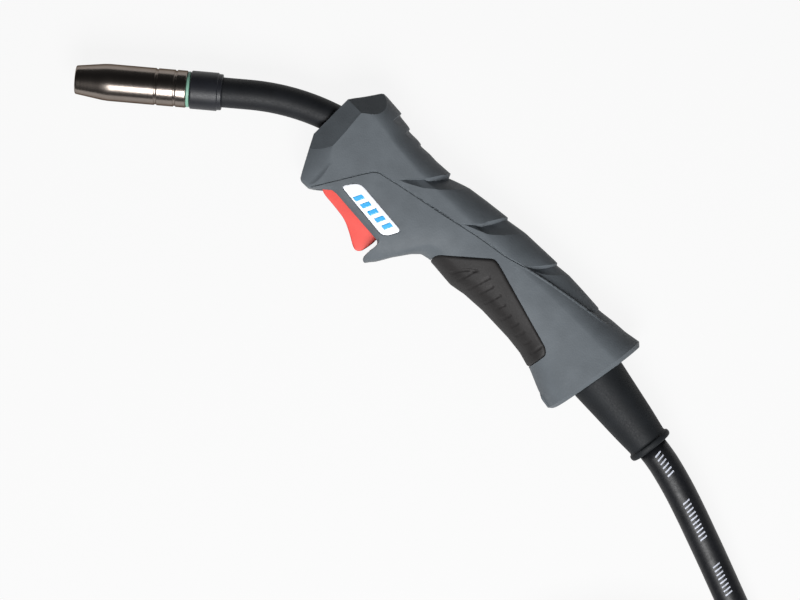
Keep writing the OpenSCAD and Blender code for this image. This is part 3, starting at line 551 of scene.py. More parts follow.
BELLY_EDGE = line_through([(-86, 3), (-70, 3), (-20, 3.2), (-8, 8), (94, 8)], 1)
HOOK_X = -26.4
HOOK_Y = [-44.7, -43.9, -42.4, -38, -35.8, -34.4, -32]
HOOK_LEAN = [0.6, -0.6, -1.0, -0.4, 0.1, 0.4, 0]
BEVEL_W, BEVEL_D = 1.5, 1.5


def hook_shift(x, y):
    """How far the front edge of the hook leans from one straight across the torch."""
    lean = np.interp(y, HOOK_Y, HOOK_LEAN)
    return lean * np.clip(1 - np.abs(x - HOOK_X) / 4.5, 0, 1)


FACETS = [  # planes of the head: height = a + b (x - FRONT_X) + c y
    (10.3, 0.80, 0.08),
    (16.41, 0.755, -1.011),
]
# The rounded cheek under the facets
CHEEK_X, CHEEK_DEPTH, CHEEK_FALL, CHEEK_RISE = 16.0, 8.0, 0.3, 0.6
CHEEK_TOP, CHEEK_Y, CHEEK_CURVE = 18.4, -18, 1.6


def side_height(x, y):
    """Height of the left side over the parting plane, without facets or edge rounding."""
    crown = CROWN(x)
    above = np.clip((y - crown) / (BACK(x) - crown), 0, 1) ** UPPER_ROUND(x)
    below = np.clip((crown - y) / (crown - KEEL(x)), 0, 1) ** LOWER_ROUND(x)
    n = np.where(y > crown, UPPER_ROUND(x), LOWER_ROUND(x))
    return HALF_WIDTH(x) * (1 - np.where(y > crown, above, below)).clip(0) ** (1 / n)


def facet_heights(x, y):
    """Heights of the head's flat facets and of its rounded cheek."""
    u = x - FRONT_X
    cheek = CHEEK_TOP - CHEEK_DEPTH * np.clip(1 - u / CHEEK_X, 0, 1) ** CHEEK_CURVE
    cheek = cheek + CHEEK_FALL * (y - CHEEK_Y) + CHEEK_RISE * np.clip(u - CHEEK_X, 0, None)
    return [a + b * u + c * y for a, b, c in FACETS] + [cheek]


def facet_height(x, y):
    return np.min(facet_heights(x, y), axis=0)


RIDGES = [lambda x, y, i=i, j=j: facet_heights(x, y)[i] - facet_heights(x, y)[j]
          for i, j in ((0, 1), (0, 2))]


def section(x, count):
    """Left half of the section at station x, from the belly to the back, evenly spaced."""
    s = np.linspace(-math.pi / 2, math.pi / 2, 900)
    low, high = BELLY(x), BACK(x)
    y = (low + high) / 2 + (high - low) / 2 * np.sin(s)
    z = side_height(x, y)
    edge = np.clip((y - low) / BELLY_EDGE(x), 0, 1)
    round_z = z * (1 - (1 - edge) ** 2.4) ** (1 / 2.4)
    bevel_z = z - BEVEL_D * np.clip(1 - (y - low) / BEVEL_W, 0, 1)
    z = bevel_z + (round_z - bevel_z) * smoothstep(-16, -4, x)
    z[0] = z[-1] = 0
    walk = np.concatenate([[0], np.cumsum(np.hypot(np.diff(y), np.diff(z)))])
    even = np.linspace(0, walk[-1], count)
    y, z = np.interp(even, walk, y), np.interp(even, walk, z)
    lean = REAR_LEAN * max(0.0, (x - 50) / (REAR_X - 50))
    return np.stack([x + lean * (y - BOOT_AT[1]) + hook_shift(x, y), y, z], 1)


def split_along(points, faces, field):
    """Cuts triangles along field = 0, so that the line becomes edges of the mesh."""
    value = field(points)
    value = np.where(np.abs(value) < 1e-3, 0, value)
    sign = np.sign(value)
    edges = np.sort(faces[:, [0, 1, 1, 2, 2, 0]].reshape(-1, 2), axis=1)
    edges = np.unique(edges, axis=0)
    edges = edges[sign[edges[:, 0]] * sign[edges[:, 1]] < 0]
    a, b = edges.T
    t = value[a] / (value[a] - value[b])
    fresh = points[a] + (points[b] - points[a]) * t[:, None]
    at_edge = {(p, q): len(points) + k for k, (p, q) in enumerate(edges.tolist())}
    crossed = np.ptp(sign[faces], axis=1) == 2
    out = faces[~crossed].tolist()
    for tri in faces[crossed].tolist():
        for k in range(3):
            p, q, r = tri[k], tri[(k + 1) % 3], tri[(k + 2) % 3]
            pq, qr, rp = ((min(e), max(e)) in at_edge for e in ((p, q), (q, r), (r, p)))
            if pq and rp and not qr:
                m = at_edge[min(p, q), max(p, q)]
                n = at_edge[min(r, p), max(r, p)]
                out += [[p, m, n], [m, q, n], [n, q, r]]
                break
            if pq and not qr and not rp:
                m = at_edge[min(p, q), max(p, q)]
                out += [[p, m, r], [m, q, r]]
                break
    return np.vstack([points, fresh]), np.array(out)


def keep_where(points, faces, field):
    """The triangles whose middle has a field above zero."""
    middle = points[faces].mean(axis=1)
    return faces[field(middle) > 0]


def clip(points, faces, field):
    points, faces = split_along(points, faces, field)
    return points, keep_where(points, faces, field)


ASTRAY = 0.7


def unit_rows(vectors):
    return vectors / np.maximum(np.linalg.norm(vectors, axis=1), 1e-12)[:, None]


def vertex_normals(points, faces):
    a, b, c = (points[faces[:, k]] for k in range(3))
    n = np.cross(b - a, c - a)
    out = np.zeros_like(points)
    for k in range(3):
        np.add.at(out, faces[:, k], n)
    # Points among slivers, whose own direction says little, take that of their neighbours
    wide = np.zeros_like(points)
    around = out[faces].sum(axis=1)
    for k in range(3):
        np.add.at(wide, faces[:, k], around)
    out, wide = unit_rows(out), unit_rows(wide)
    astray = (out * wide).sum(axis=1) < ASTRAY
    out[astray] = wide[astray]
    return out


def distance_to_line(line, xy):
    """Least distance from points to a polyline, and on which side of it they lie."""
    best = np.full(len(xy), 1e9)
    side = np.ones(len(xy))
    for p, q in zip(line[:-1], line[1:]):
        d = q - p
        t = np.clip(((xy - p) @ d) / (d @ d), 0, 1)
        gap = xy - (p + t[:, None] * d)
        dist = np.hypot(*gap.T)
        cross = d[0] * (xy[:, 1] - p[1]) - d[1] * (xy[:, 0] - p[0])
        closer = dist < best
        best = np.where(closer, dist, best)
        side = np.where(closer, np.sign(cross), side)
    return best, side


def inside_depth(outline, xy):
    """Distance to a closed outline, positive inside it."""
    loop = np.vstack([outline, outline[:1]])
    dist, _ = distance_to_line(loop, xy)
    inside = np.zeros(len(xy), bool)
    for p, q in zip(loop[:-1], loop[1:]):
        spans = (p[1] > xy[:, 1]) != (q[1] > xy[:, 1])
        rise = q[1] - p[1] if abs(q[1] - p[1]) > 1e-9 else 1e-9
        inside ^= spans & (xy[:, 0] < (q[0] - p[0]) * (xy[:, 1] - p[1]) / rise + p[0])
    return np.where(inside, dist, -dist)


GROOVE = rounded([
    (-69, -37), (-52.9, -10.9), (-50.4, -8.9), (-39.7, -6.4), (-14.3, -1.2), (5.8, 3.2),
    (21.4, 5.7), (31, 8.5),
], 3)
CREASE = rounded([(21.4, 5.7), (31, 8.5), (45, 11.6), (62, 14.6), (79, 17.2)], 4)
GROOVE_W, GROOVE_D = 0.5, 0.55
GROOVE_WALL, GROOVE_FLOOR = 0.6, 0.4  # shares of a groove's half width
CREASE_RISE, CREASE_SINK, CREASE_W, CREASE_LINE = 0.35, 0.8, 0.8, 0.05
# Scallops: front edge and rear edge, each from the tip to the back, and depth at the front
SCALLOPS = [
    ([(-42, -5), (-33.2, 4.4), (-31.4, 6.5), (-28.3, 11.6), (-26, 15), (-25.6, 17)],
     [(-42, -5), (-38.6, -3.8), (-30.2, 0.7), (-23.5, 6.2), (-18, 12.2), (-14.6, 16.2),
      (-14.2, 18)], 3.0),
    ([(-5.4, 1.6), (2.2, 9), (3.3, 11.7), (7.1, 18.1), (8.7, 20), (9, 22)],
     [(-5.4, 1.6), (-0.5, 3.7), (7.9, 7.2), (13.6, 12.5), (18.5, 18.9), (20.2, 21), (20.4, 23)],
     3.0),
    ([(31.2, 8.8), (39.7, 18.9), (41.2, 21.2), (41.4, 23)],
     [(31.2, 8.8), (32.9, 8.7), (40.5, 13.2), (47.3, 19.3), (49.5, 21.4), (49.7, 23)], 2.8),
    ([(64.6, 14), (66.6, 15.4), (70.5, 20), (71.2, 23)],
     [(64.6, 14), (68.4, 15.2), (73.5, 17.6), (76.9, 20.4), (77.4, 23)], 1.9),
]
EDGE_RAMP = 0.7
SCALLOP_FULL_W, SCALLOP_TIP = 7.5, 2.5
SCALLOP_FADE, SCALLOP_FADE_Y = 0.66, (13, 20)
THUMB_STEPS = [(-63.4, 1.0), (-55.2, 0.9), (-46.2, 0.7)]  # place and height
THUMB_RAMP, THUMB_REACH = 0.5, 7.6
PAD_LINE = rounded([
    (-3.2, -30), (-3.4, -17.6), (1.5, -13.4), (18.2, 1.2), (22, 0.6), (65.6, -11.8),
    (68.4, -14.2), (66.4, -30),
], [0, 3, 3, 2.6, 2.6, 3, 3, 0], closed=True)
BADGE_LINE = rounded([
    (-59.2, -26.6), (-53.4, -18.6), (-22.2, -21.0), (-27.0, -29.6),
], [3.2, 3.6, 3.2, 3.6], steps=6, closed=True)
PAD_GAP = 0.35


def scallop_across(scallop, xy):
    """0 at a scallop's front edge and 1 at its rear edge; also the width there, in mm."""
    front, rear = (np.array(line) for line in scallop[:2])
    x, y = xy.T
    x_front = np.interp(y, front[:, 1], front[:, 0])
    x_rear = np.interp(y, rear[:, 1].clip(front[0, 1]), rear[:, 0])
    width = np.maximum(x_rear - x_front, 0.3)
    return (x - x_front) / width, width, y - front[0, 1]


def scallop_depth(scallop, xy):
    across, width, past_tip = scallop_across(scallop, xy)
    ramp = EDGE_RAMP / width
    depth = np.where(across < ramp, across / ramp, (1 - across) / (1 - ramp))
    size = scallop[2] * np.clip(width / SCALLOP_FULL_W, 0, 1) * np.clip(past_tip / SCALLOP_TIP, 0, 1)
    size = size * (1 - SCALLOP_FADE * smoothstep(*SCALLOP_FADE_Y, xy[:, 1]))
    return np.clip(depth, 0, 1) * size * ((past_tip > 0) & (across > 0) & (across < 1))


def groove_cut(dist, half_width, depth):
    """Depth of a groove with sloped walls and a flat floor, at a distance from its middle."""
    return depth * np.clip((1 - dist / half_width) / GROOVE_WALL, 0, 1)


def surface_offset(points):
    """Height of the shell's relief over its plain form, in mm."""
    xy = points[:, :2]
    x, y = xy.T
    offset = np.zeros(len(xy))
    for scallop in SCALLOPS:
        offset -= scallop_depth(scallop, xy)
    dist, _ = distance_to_line(GROOVE, xy)
    offset -= groove_cut(dist, GROOVE_W, GROOVE_D)
    # Above the crease the surface is sunk by a step that fades towards the back
    dist, side = distance_to_line(CREASE, xy)
    along = smoothstep(22, 40, x) * (1 - smoothstep(70, 82, x))
    fade = np.clip(dist / CREASE_W, 0, 1) * (1 - smoothstep(2, 9, dist))
    offset -= CREASE_SINK * along * (side > 0) * fade
    offset += CREASE_RISE * along * np.clip(1 - (dist / CREASE_W) ** 2, 0, 1)
    for step_x, height in THUMB_STEPS:
        near_back = smoothstep(2.0, 5.5, y - 11)
        behind = x - step_x
        fade = 1 - smoothstep(THUMB_RAMP, THUMB_REACH, behind)
        offset -= height * near_back * np.clip(behind / THUMB_RAMP, 0, 1) * fade
    return offset


def relief_fields():
    """Lines along which the relief bends, as smooth fields that are 0 on them."""
    fields = []
    for front, rear, _ in SCALLOPS:
        outline = np.array(front + rear[:0:-1], float)
        front = np.array(front, float)
        fields.append(lambda xy, c=outline: inside_depth(c, xy))
        fields.append(lambda xy, c=front: distance_to_line(c, xy)[0] - EDGE_RAMP)
    for reach in (GROOVE_W, GROOVE_FLOOR * GROOVE_W):
        fields.append(lambda xy, r=reach: distance_to_line(GROOVE, xy)[0] - r)
    for reach in (CREASE_LINE, CREASE_W):
        fields.append(lambda xy, r=reach: distance_to_line(CREASE, xy)[0] - r)
    for step_x, _ in THUMB_STEPS:
        for ramp in (0.0, THUMB_RAMP):
            fields.append(lambda xy, v=step_x + ramp: xy[:, 0] - v)
    for reach in (0.0, RECESS_RAMP):
        fields.append(lambda xy, r=reach: inside_depth(BADGE_LINE, xy) - r)
    for reach in (0.0, RECESS_RAMP, PAD_GAP, PAD_GAP + 0.5):
        fields.append(lambda xy, r=reach: inside_depth(PAD_LINE, xy) - r)
    return fields


COLUMNS = 96
STATION_STEP = 0.75
SHELL_T = 1.9
SPLIT_GAP = 0.3
CHAMFER_X, CHAMFER_IN = REAR_X - 2.0, 1.7
NECK_HOLE = (-5.94, 8.1)
BOOT_HOLE = (-3.9, 14.35)


def hole_ring(x, centre_y, radius, count):
    angle = np.linspace(-math.pi / 2, math.pi / 2, count)
    y = centre_y + radius * np.sin(angle)
    lean = REAR_LEAN if x > 0 else 0.0
    return np.stack([x + lean * (y - BOOT_AT[1]), y, radius * np.cos(angle)], 1)


def rear_rim(ring):
    """The last ring of the chamfer round the rear end, drawn in towards its middle."""
    middle = np.array([(BACK(CHAMFER_X) + BELLY(CHAMFER_X)) / 2, 0])
    half = np.array([(BACK(CHAMFER_X) - BELLY(CHAMFER_X)) / 2, HALF_WIDTH(CHAMFER_X)])
    y, z = ((ring[:, 1:] - middle) * (1 - CHAMFER_IN / half) + middle).T
    return np.stack([REAR_X + REAR_LEAN * (y - BOOT_AT[1]), y, z], 1)


def half_surface():
    """Left half of the handle's outer face with its two ends, as points and triangles."""
    xs = np.arange(FRONT_X, REAR_X, STATION_STEP)
    xs = np.unique(np.round(np.concatenate([
        xs, np.arange(-27.4, -25.0, 0.2), np.arange(-29.2, -27.4, 0.35),
        [FRONT_X + 0.25, CHAMFER_X - 0.3, CHAMFER_X]]), 3))
    xs = xs[xs <= CHAMFER_X]
    body = [section(x, COLUMNS) for x in xs]
    body.append(rear_rim(body[-1]))
    body[0][:, 2] = np.minimum(body[0][:, 2], facet_height(FRONT_X, body[0][:, 1]))
    front_hole = hole_ring(FRONT_X, *NECK_HOLE, COLUMNS)
    rear_hole = hole_ring(REAR_X, *BOOT_HOLE, COLUMNS)
    inward = np.array([1.0, 0, 0])
    front = [front_hole + 3 * inward, front_hole + 0.4 * inward]
    front += [front_hole + (body[0] - front_hole) * t for t in (0.05, 0.3, 0.6, 0.9)]
    rear = [body[-1] + (rear_hole - body[-1]) * t for t in (0.15, 0.4, 0.7, 0.95)]
    rear += [rear_hole - 0.4 * inward, rear_hole - 4 * inward]
    rows = np.array(front + body + rear)
    quads = grid_faces(len(rows), COLUMNS)
    faces = np.vstack([quads[:, [0, 2, 1]], quads[:, [0, 3, 2]]])
    return rows.reshape(-1, 3), faces


def thicken(points, faces, inner):
    """Closes a surface with a second one at the inner points."""
    n = len(points)
    edges = faces[:, [0, 1, 1, 2, 2, 0]].reshape(-1, 2)
    key = np.sort(edges, axis=1)
    _, first, count = np.unique(key, axis=0, return_index=True, return_counts=True)
    rim = edges[first[count == 1]]
    a, b = rim.T
    wall = np.vstack([np.stack([b, a, a + n], 1), np.stack([b, a + n, b + n], 1)])
    return np.vstack([points, inner]), np.vstack([faces, faces[:, ::-1] + n, wall])


def compact(points, faces):
    used, where = np.unique(faces, return_inverse=True)
    return points[used], where.reshape(faces.shape)


def mirrored(points, faces):
    return points * (1, 1, -1), faces[:, ::-1]


def sharp_by_angle(obj, degrees=28):
    bpy.context.view_layer.objects.active = obj
    bpy.ops.object.select_all(action="DESELECT")
    obj.select_set(True)
    bpy.ops.object.shade_smooth_by_angle(angle=math.radians(degrees))
    return obj


RECESS_RAMP = 0.25
PAD_RECESS, BADGE_RECESS = 1.3, 0.6
WINDOW = (-66.6, -27.3, -22.0, 6.55)
SCREWS = [(-70, 12.6), (-19.5, -23.2), (1, 14), (58, 15.6), (82, -19)]
SCREW_WELL_R = 2.9
WELL_FROM = 4  # height over the parting plane from which the wells are cut


def window_field(p):
    front, rear, top, half = WINDOW
    return np.max([front - p[:, 0], p[:, 0] - rear, p[:, 1] - top, np.abs(p[:, 2]) - half], axis=0)


def pad_depth(p):
    return inside_depth(PAD_LINE, p[:, :2])


def badge_depth(p):
    return inside_depth(BADGE_LINE, p[:, :2])


WELD = 0.03


def weld(points, faces):
    """Joins points that share a place and drops the faces that fold up."""
    _, first, where = np.unique(
        np.round(points / WELD).astype(int), axis=0, return_index=True, return_inverse=True)
    faces = where.reshape(-1)[faces]
    a, b, c = faces.T
    return points[first], faces[(a != b) & (b != c) & (c != a)]


def cut_facets(points, faces):
    """Planes off the head's facets, their edges as edges of the mesh."""
    points, faces = split_along(
        points, faces, lambda p: p[:, 2] - facet_height(p[:, 0], p[:, 1]))
    for field in RIDGES:
        points, faces = split_along(points, faces, lambda p: field(p[:, 0], p[:, 1]))
    points[:, 2] = np.minimum(points[:, 2], facet_height(points[:, 0], points[:, 1]))
    return weld(points, faces)


def cut_base():
    """The half surface with its facets, cut along every line of the relief, and its normals."""
    points, faces = cut_facets(*half_surface())
    for field in relief_fields():
        points, faces = split_along(points, faces, lambda p, f=field: f(p[:, :2]))
    points, faces = compact(points, faces)
    return points, faces, vertex_normals(points, faces)


def part_gap(base):
    """How far each point is drawn in so that a fine groove shows between the two shells."""
    return -SPLIT_GAP * np.clip(1 - base[:, 2] / 0.5, 0, 1)


def on_kink(base):
    """Whether points lie on a line where the relief bends too little to be sharp by its angle."""
    xy = base[:, :2]
    near = np.full(len(xy), False)
    for front, rear, _ in SCALLOPS:
        outline = np.array(front + rear[:0:-1], float)
        past_tip = xy[:, 1] > front[0][1] + 1
        near |= past_tip & (np.abs(inside_depth(outline, xy)) < 0.04)
    heights = facet_heights(*xy.T)
    flat = base[:, 2] > np.min(heights, axis=0) - 0.02
    for field in RIDGES:
        near |= flat & (np.abs(field(*xy.T)) < 0.01)
    return near


def sharpen(obj, flagged):
    """Marks edges as sharp whose two ends are both among the flagged first points."""
    mesh = obj.data
    ends = np.empty(2 * len(mesh.edges), int)
    mesh.edges.foreach_get("vertices", ends)
    ends = ends.reshape(-1, 2)
    sharp = np.empty(len(mesh.edges), bool)
    mesh.edges.foreach_get("use_edge_sharp", sharp)
    full = np.full(len(mesh.vertices), False)
    full[:len(flagged)] = flagged
    sharp |= full[ends].all(axis=1)
    mesh.edges.foreach_set("use_edge_sharp", sharp)


def make_shell(name, base, faces, normals, side):
    depth = surface_offset(base) + part_gap(base)
    inside = pad_depth(base)
    lowered = np.clip(inside / RECESS_RAMP, 0, 1)
    depth = depth * (1 - lowered) - PAD_RECESS * lowered
    if side > 0:
        lowered = np.clip(badge_depth(base) / RECESS_RAMP, 0, 1)
        depth -= BADGE_RECESS * lowered
    outer = base + normals * depth[:, None]
    points = np.hstack([outer, outer - normals * SHELL_T, base])
    points, faces = clip(points, faces, window_field)
    if side < 0:
        for x, y in SCREWS:
            points, faces = clip(points, faces, lambda p, c=(x, y): np.maximum(
                np.hypot(p[:, 0] - c[0], p[:, 1] - c[1]) - SCREW_WELL_R, WELL_FROM - p[:, 2]))
    points, faces = compact(points, faces)
    kinks = on_kink(points[:, 6:])
    points, faces = thicken(points[:, :3], faces, points[:, 3:6])
    if side < 0:
        points, faces = mirrored(points, faces)
    obj = sharp_by_angle(new_object(name, at(points), faces, handle_grey))
    sharpen(obj, kinks)
    return obj


WELL_SEAT = 9.0
WELL_PROFILE = [(2.85, None), (3.8, None), (3.8, 8.2), (1.2, 8.2), (1.2, 9.0), (2.85, 9.0)]


def make_screw_wells(base):
    """Round wells of the right shell, from its wall down to the seats of the screw heads."""
    angle = np.linspace(0, 2 * math.pi, 40, endpoint=False)
    wall = base[base[:, 2] > WELL_FROM]
    wells = []
    for x, y in SCREWS:
        rings = []
        for r, depth in WELL_PROFILE:
            ring = np.stack([x + r * np.cos(angle), y + r * np.sin(angle)], 1)
            if depth is None:
                near = ((ring[:, None] - wall[None, :, :2]) ** 2).sum(axis=2).argmin(axis=1)
                depth = np.maximum(wall[near, 2] - SHELL_T / 2, WELL_SEAT + 0.1)
            rings.append(np.column_stack([ring, -np.broadcast_to(depth, len(ring))]))
        rings.append(rings[0])
        wells.append((np.vstack(rings), grid_faces(len(rings), len(angle), wrap=True)))
    points, faces = joined(wells)
    return sharp_by_angle(new_object("screw_wells", at(points), faces.tolist(), handle_grey))


TREADS = [
    rounded([(8.3, -18.2), (11.5, -12.6), (16.2, -9.1)], 4),
    [(13.2, -18.2), (15.5, -9.9)], [(19.6, -17.5), (22.7, -7.3)],
    [(24.9, -15.2), (26.8, -9.1)], [(30.3, -16.7), (32.3, -9.5)],
    [(35.9, -14.5), (37.1, -11.4)], [(41.2, -16.7), (42.6, -12.9)],
    [(47.0, -15.6), (47.9, -13)], [(52.0, -17.2), (52.8, -14.2)],
    [(57.4, -17.2), (58.1, -15)], [(62.9, -18.2), (63.8, -12.9)],
]
TREAD_W, TREAD_D = 0.95, 0.24
PAD_PROUD, PAD_EDGE_DROP, PAD_EDGE_W = 0.35, 0.55, 1.1


def make_pad(base, faces, normals):
    points = np.hstack([base, normals])
    points, faces = clip(points, faces, lambda p: pad_depth(p) - PAD_GAP)
    points, faces = compact(points, faces)
    lines = [np.array(line, float) for line in TREADS]
    for line in lines:
        for reach in (TREAD_W, GROOVE_FLOOR * TREAD_W):
            points, faces = split_along(
                points, faces, lambda p, c=line, r=reach: distance_to_line(c, p[:, :2])[0] - r)
    base, normals = points[:, :3], points[:, 3:]
    edge = np.clip((pad_depth(base) - PAD_GAP) / PAD_EDGE_W, 0, 1)
    depth = PAD_PROUD - PAD_EDGE_DROP * (1 - edge) ** 2
    for line in lines:
        dist, _ = distance_to_line(line, base[:, :2])
        depth -= groove_cut(dist, TREAD_W, TREAD_D)
    depth += part_gap(base)
    outer = base + normals * depth[:, None]
    left = thicken(outer, faces, base - normals * (PAD_RECESS - 0.1))
    points, faces = joined([left, mirrored(*left)])
    return sharp_by_angle(new_object("grip_pad_moulding", at(points), faces, pad_rubber))


BADGE_GAP, BADGE_FLAT = 0.3, 0.8  # from the recess's edge to the plate and to its flat middle
BADGE_PROUD, BADGE_EDGE_DROP = 0.12, 0.25
BADGE_BARS, BAR_FROM, BAR_STEP = 5, -50.8, 4.8
BAR_LINE = np.array([(0, -26.3), (1.9, -22.1), (4.4, -22.4), (2.5, -26.6)])
BAR_TOP, BAR_BOTTOM = 0.17, 0.05  # over the shell's plain form


def make_badge(base, faces, normals):
    points = np.hstack([base, normals])
    points, faces = clip(points, faces, lambda p: badge_depth(p) - BADGE_GAP)
    points, faces = split_along(points, faces, lambda p: badge_depth(p) - BADGE_FLAT)
    points, faces = compact(points, faces)
    base, normals = points[:, :3], points[:, 3:]
    edge = np.clip((badge_depth(base) - BADGE_GAP) / (BADGE_FLAT - BADGE_GAP), 0, 1)
    outer = base + normals * (BADGE_PROUD - BADGE_EDGE_DROP * (1 - edge) ** 2)[:, None]
    points, faces = thicken(outer, faces, base - normals * (BADGE_RECESS - 0.05))
    return sharp_by_angle(new_object("badge_plate", at(points), faces, badge_white))


def make_badge_bars(base, faces, normals):
    """Slanted bars printed on the badge."""
    points = np.hstack([base, normals])
    bars = []
    for k in range(BADGE_BARS):
        outline = BAR_LINE + (BAR_FROM + BAR_STEP * k, 0)
        p, f = clip(points, faces, lambda q, c=outline: inside_depth(c, q[:, :2]))
        p, f = compact(p, f)
        bars.append(thicken(p[:, :3] + p[:, 3:] * BAR_TOP, f, p[:, :3] + p[:, 3:] * BAR_BOTTOM))
    points, faces = joined(bars)
    return new_object("badge_bars", at(points), faces, badge_blue)


# ---------------------------------------------------------------- trigger

TRIGGER_W, TRIGGER_EDGE = 5.9, 0.7
TRIGGER_LINE = [
    (-65.0, -30.4), (-65.2, -33.3), (-62.4, -34.7), (-54, -35.4), (-46.5, -36.4),
    (-40.4, -39.3), (-34.8, -42.6), (-32.4, -43.4), (-30.2, -41.7), (-29.2, -37.6),
    (-28.7, -33.4), (-29.4, -27.6), (-46, -27.4), (-60, -26.2),
]
TRIGGER_ROUND = [1.5, 2.0, 2.5, 6, 9, 9, 5, 3.0, 2.5, 4, 2, 1, 1, 1]


def make_trigger():
    """Trigger lever with rounded edges."""
    outline = rounded(TRIGGER_LINE, TRIGGER_ROUND, steps=5, closed=True)
    n = len(outline)
    centre = outline.mean(axis=0)
    inward = np.roll(outline, -1, 0) - np.roll(outline, 1, 0)
    inward = np.stack([inward[:, 1], -inward[:, 0]], 1)
    inward /= np.linalg.norm(inward, axis=1)[:, None]
    if ((centre - outline) * inward).sum() < 0:
        inward = -inward
    turn = np.linspace(0, math.pi / 2, 5)
    edge = np.stack([1 - np.sin(turn), 1 - np.cos(turn)], 1) * TRIGGER_EDGE
    half = [(TRIGGER_W - drop, cut) for cut, drop in edge] + [(2.5, 0.0), (0.0, 0.0)]
    stack = half + [(-z, cut) for z, cut in half[-2::-1]]
    points = []
    for z, cut in stack:
        ring = outline + inward * cut
        points.append(np.column_stack([ring, np.full(n, z)]))
    points = np.vstack(points)
    faces = [list(f) for f in grid_faces(len(stack), n, wrap=True)]
    faces += [list(range(n))[::-1], list(range((len(stack) - 1) * n, len(stack) * n))]
    return sharp_by_angle(new_object("trigger_lever_moulding", at(points), faces, trigger_red), 50)


# ---------------------------------------------------------------- springs

SPRING_STEPS = 28


def make_spring(node, along, wire_r, turns):
    """Coil spring in a CAD spring's place.
    """
    low, high = (np.array(corner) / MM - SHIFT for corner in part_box(node))
    middle = (low + high) / 2
    radius = (high - low)[2] / 2 - wire_r
    length = (high - low)[along] - 2 * wire_r
    turn = np.linspace(0, turns, int(turns * SPRING_STEPS) + 1)
    closed = 2.2 * wire_r / length
    share = np.interp(turn, [0, 1, turns - 1, turns], [0, closed, 1 - closed, 1])
    axis, across = np.eye(3)[along], np.eye(3)[1 - along]
    path = middle + (share - 0.5)[:, None] * length * axis
    path += radius * np.cos(2 * math.pi * turn)[:, None] * across
    path += radius * np.sin(2 * math.pi * turn)[:, None] * (0, 0, 1)
    obj = tube(node + "_coil", path, wire_r, 10, steel, up=axis)
    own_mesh(obj)
    return dress(obj, ROOT, "spring_steel", node)


# ---------------------------------------------------------------- neck and nozzle

BEND_X, BEND_R = -50.0, 112.0
BEND_END = np.array([
    BEND_X - BEND_R * math.sin(BEND_ANGLE), -BEND_R * (1 - math.cos(BEND_ANGLE)), 0.0])
NECK_DIR = np.array([-math.cos(BEND_ANGLE), -math.sin(BEND_ANGLE), 0.0])
NECK_TUBE_R = 5.0
SLEEVE_R = 7.3
COLLAR_AT, RING_AT, NOZZLE_AT = 13.2, 28.8, 30.5
COLLAR_R, RING_R, NOZZLE_R, MOUTH_R = 9.3, 8.7, 9.0, 7.0
NOZZLE_LEN, CONE_LEN = 54.0, 14.7
NOZZLE_GROOVES, NOZZLE_GROOVE_W, NOZZLE_GROOVE_D = (5.5, 14.7), 1.3, 0.45


def on_neck(s):
    return axis_frame(BEND_END + NECK_DIR * s, NECK_DIR)


def groove_points(z, width, depth, r):
    """Profile of a round groove turned into a barrel of radius r."""
    turn = np.linspace(0, math.pi, 9)
    return [(r, z - width / 2 - 0.12)] + [
        (r - depth * math.sin(a), z - width / 2 * math.cos(a)) for a in turn] + [
        (r, z + width / 2 + 0.12)]


def make_nozzle():
    straight = NOZZLE_LEN - CONE_LEN
    cone = rounded([(NOZZLE_R, straight - 6), (NOZZLE_R, straight), (MOUTH_R, NOZZLE_LEN - 0.8)], 4, 6)
    profile = [(7.8, 0.3), (8.1, 0), (8.75, 0), (9.0, 0.35), (9.0, 1.0)]
    for z in NOZZLE_GROOVES:
        profile += groove_points(z, NOZZLE_GROOVE_W, NOZZLE_GROOVE_D, NOZZLE_R)
    profile += [(NOZZLE_R, 20), (NOZZLE_R, 27)] + [tuple(p) for p in cone]
    profile += [(MOUTH_R - 0.12, NOZZLE_LEN - 0.25), (MOUTH_R - 0.45, NOZZLE_LEN)]
    profile += [(6.3, NOZZLE_LEN), (6.0, NOZZLE_LEN - 0.35), (6.2, NOZZLE_LEN - 3)]
    profile += [(7.5, straight + 3), (7.8, straight), (7.8, 20)]
    return lathe("nozzle_body", profile, on_neck(NOZZLE_AT), nickel, 128)


def make_ring():
    r, bore, t = RING_R, NECK_TUBE_R + 0.2, 1.7
    profile = [(bore, 0.1), (r - 0.3, 0.1), (r, 0.35), (r, t - 0.35), (r - 0.3, t - 0.1), (bore, t - 0.1)]
    return lathe("ring_washer", profile, on_neck(RING_AT), ring_green)


def make_collar():
    r, bore, length = COLLAR_R, NECK_TUBE_R + 0.2, 15.5
    profile = [(bore, 0)] + [tuple(p) for p in rounded(
        [(r - 1.4, 0), (r - 0.55, 0.1), (r - 0.5, 2.1), (r, 2.3), (r, length - 0.2), (r - 1.2, length)],
        [0, 0.6, 0.3, 0.35, 0.8, 0], 4)] + [(bore, length)]
    return lathe("collar_moulding", profile, on_neck(COLLAR_AT), black_plastic)


def make_sleeve():
    """Rubber sleeve over the bent neck, from inside the handle to the collar."""
    from_angle = math.radians(4)
    angles = np.linspace(from_angle, BEND_ANGLE, 60)
    arc = np.stack([BEND_X - BEND_R * np.sin(angles), -BEND_R * (1 - np.cos(angles)), 0 * angles], 1)
    straight = BEND_END + np.outer(np.linspace(0.8, COLLAR_AT + 0.5, 12), NECK_DIR)
    path = np.vstack([arc, straight])
    return tube("neck_sleeve_skin", path, SLEEVE_R, 64, sleeve_rubber)


# ---------------------------------------------------------------- cable support

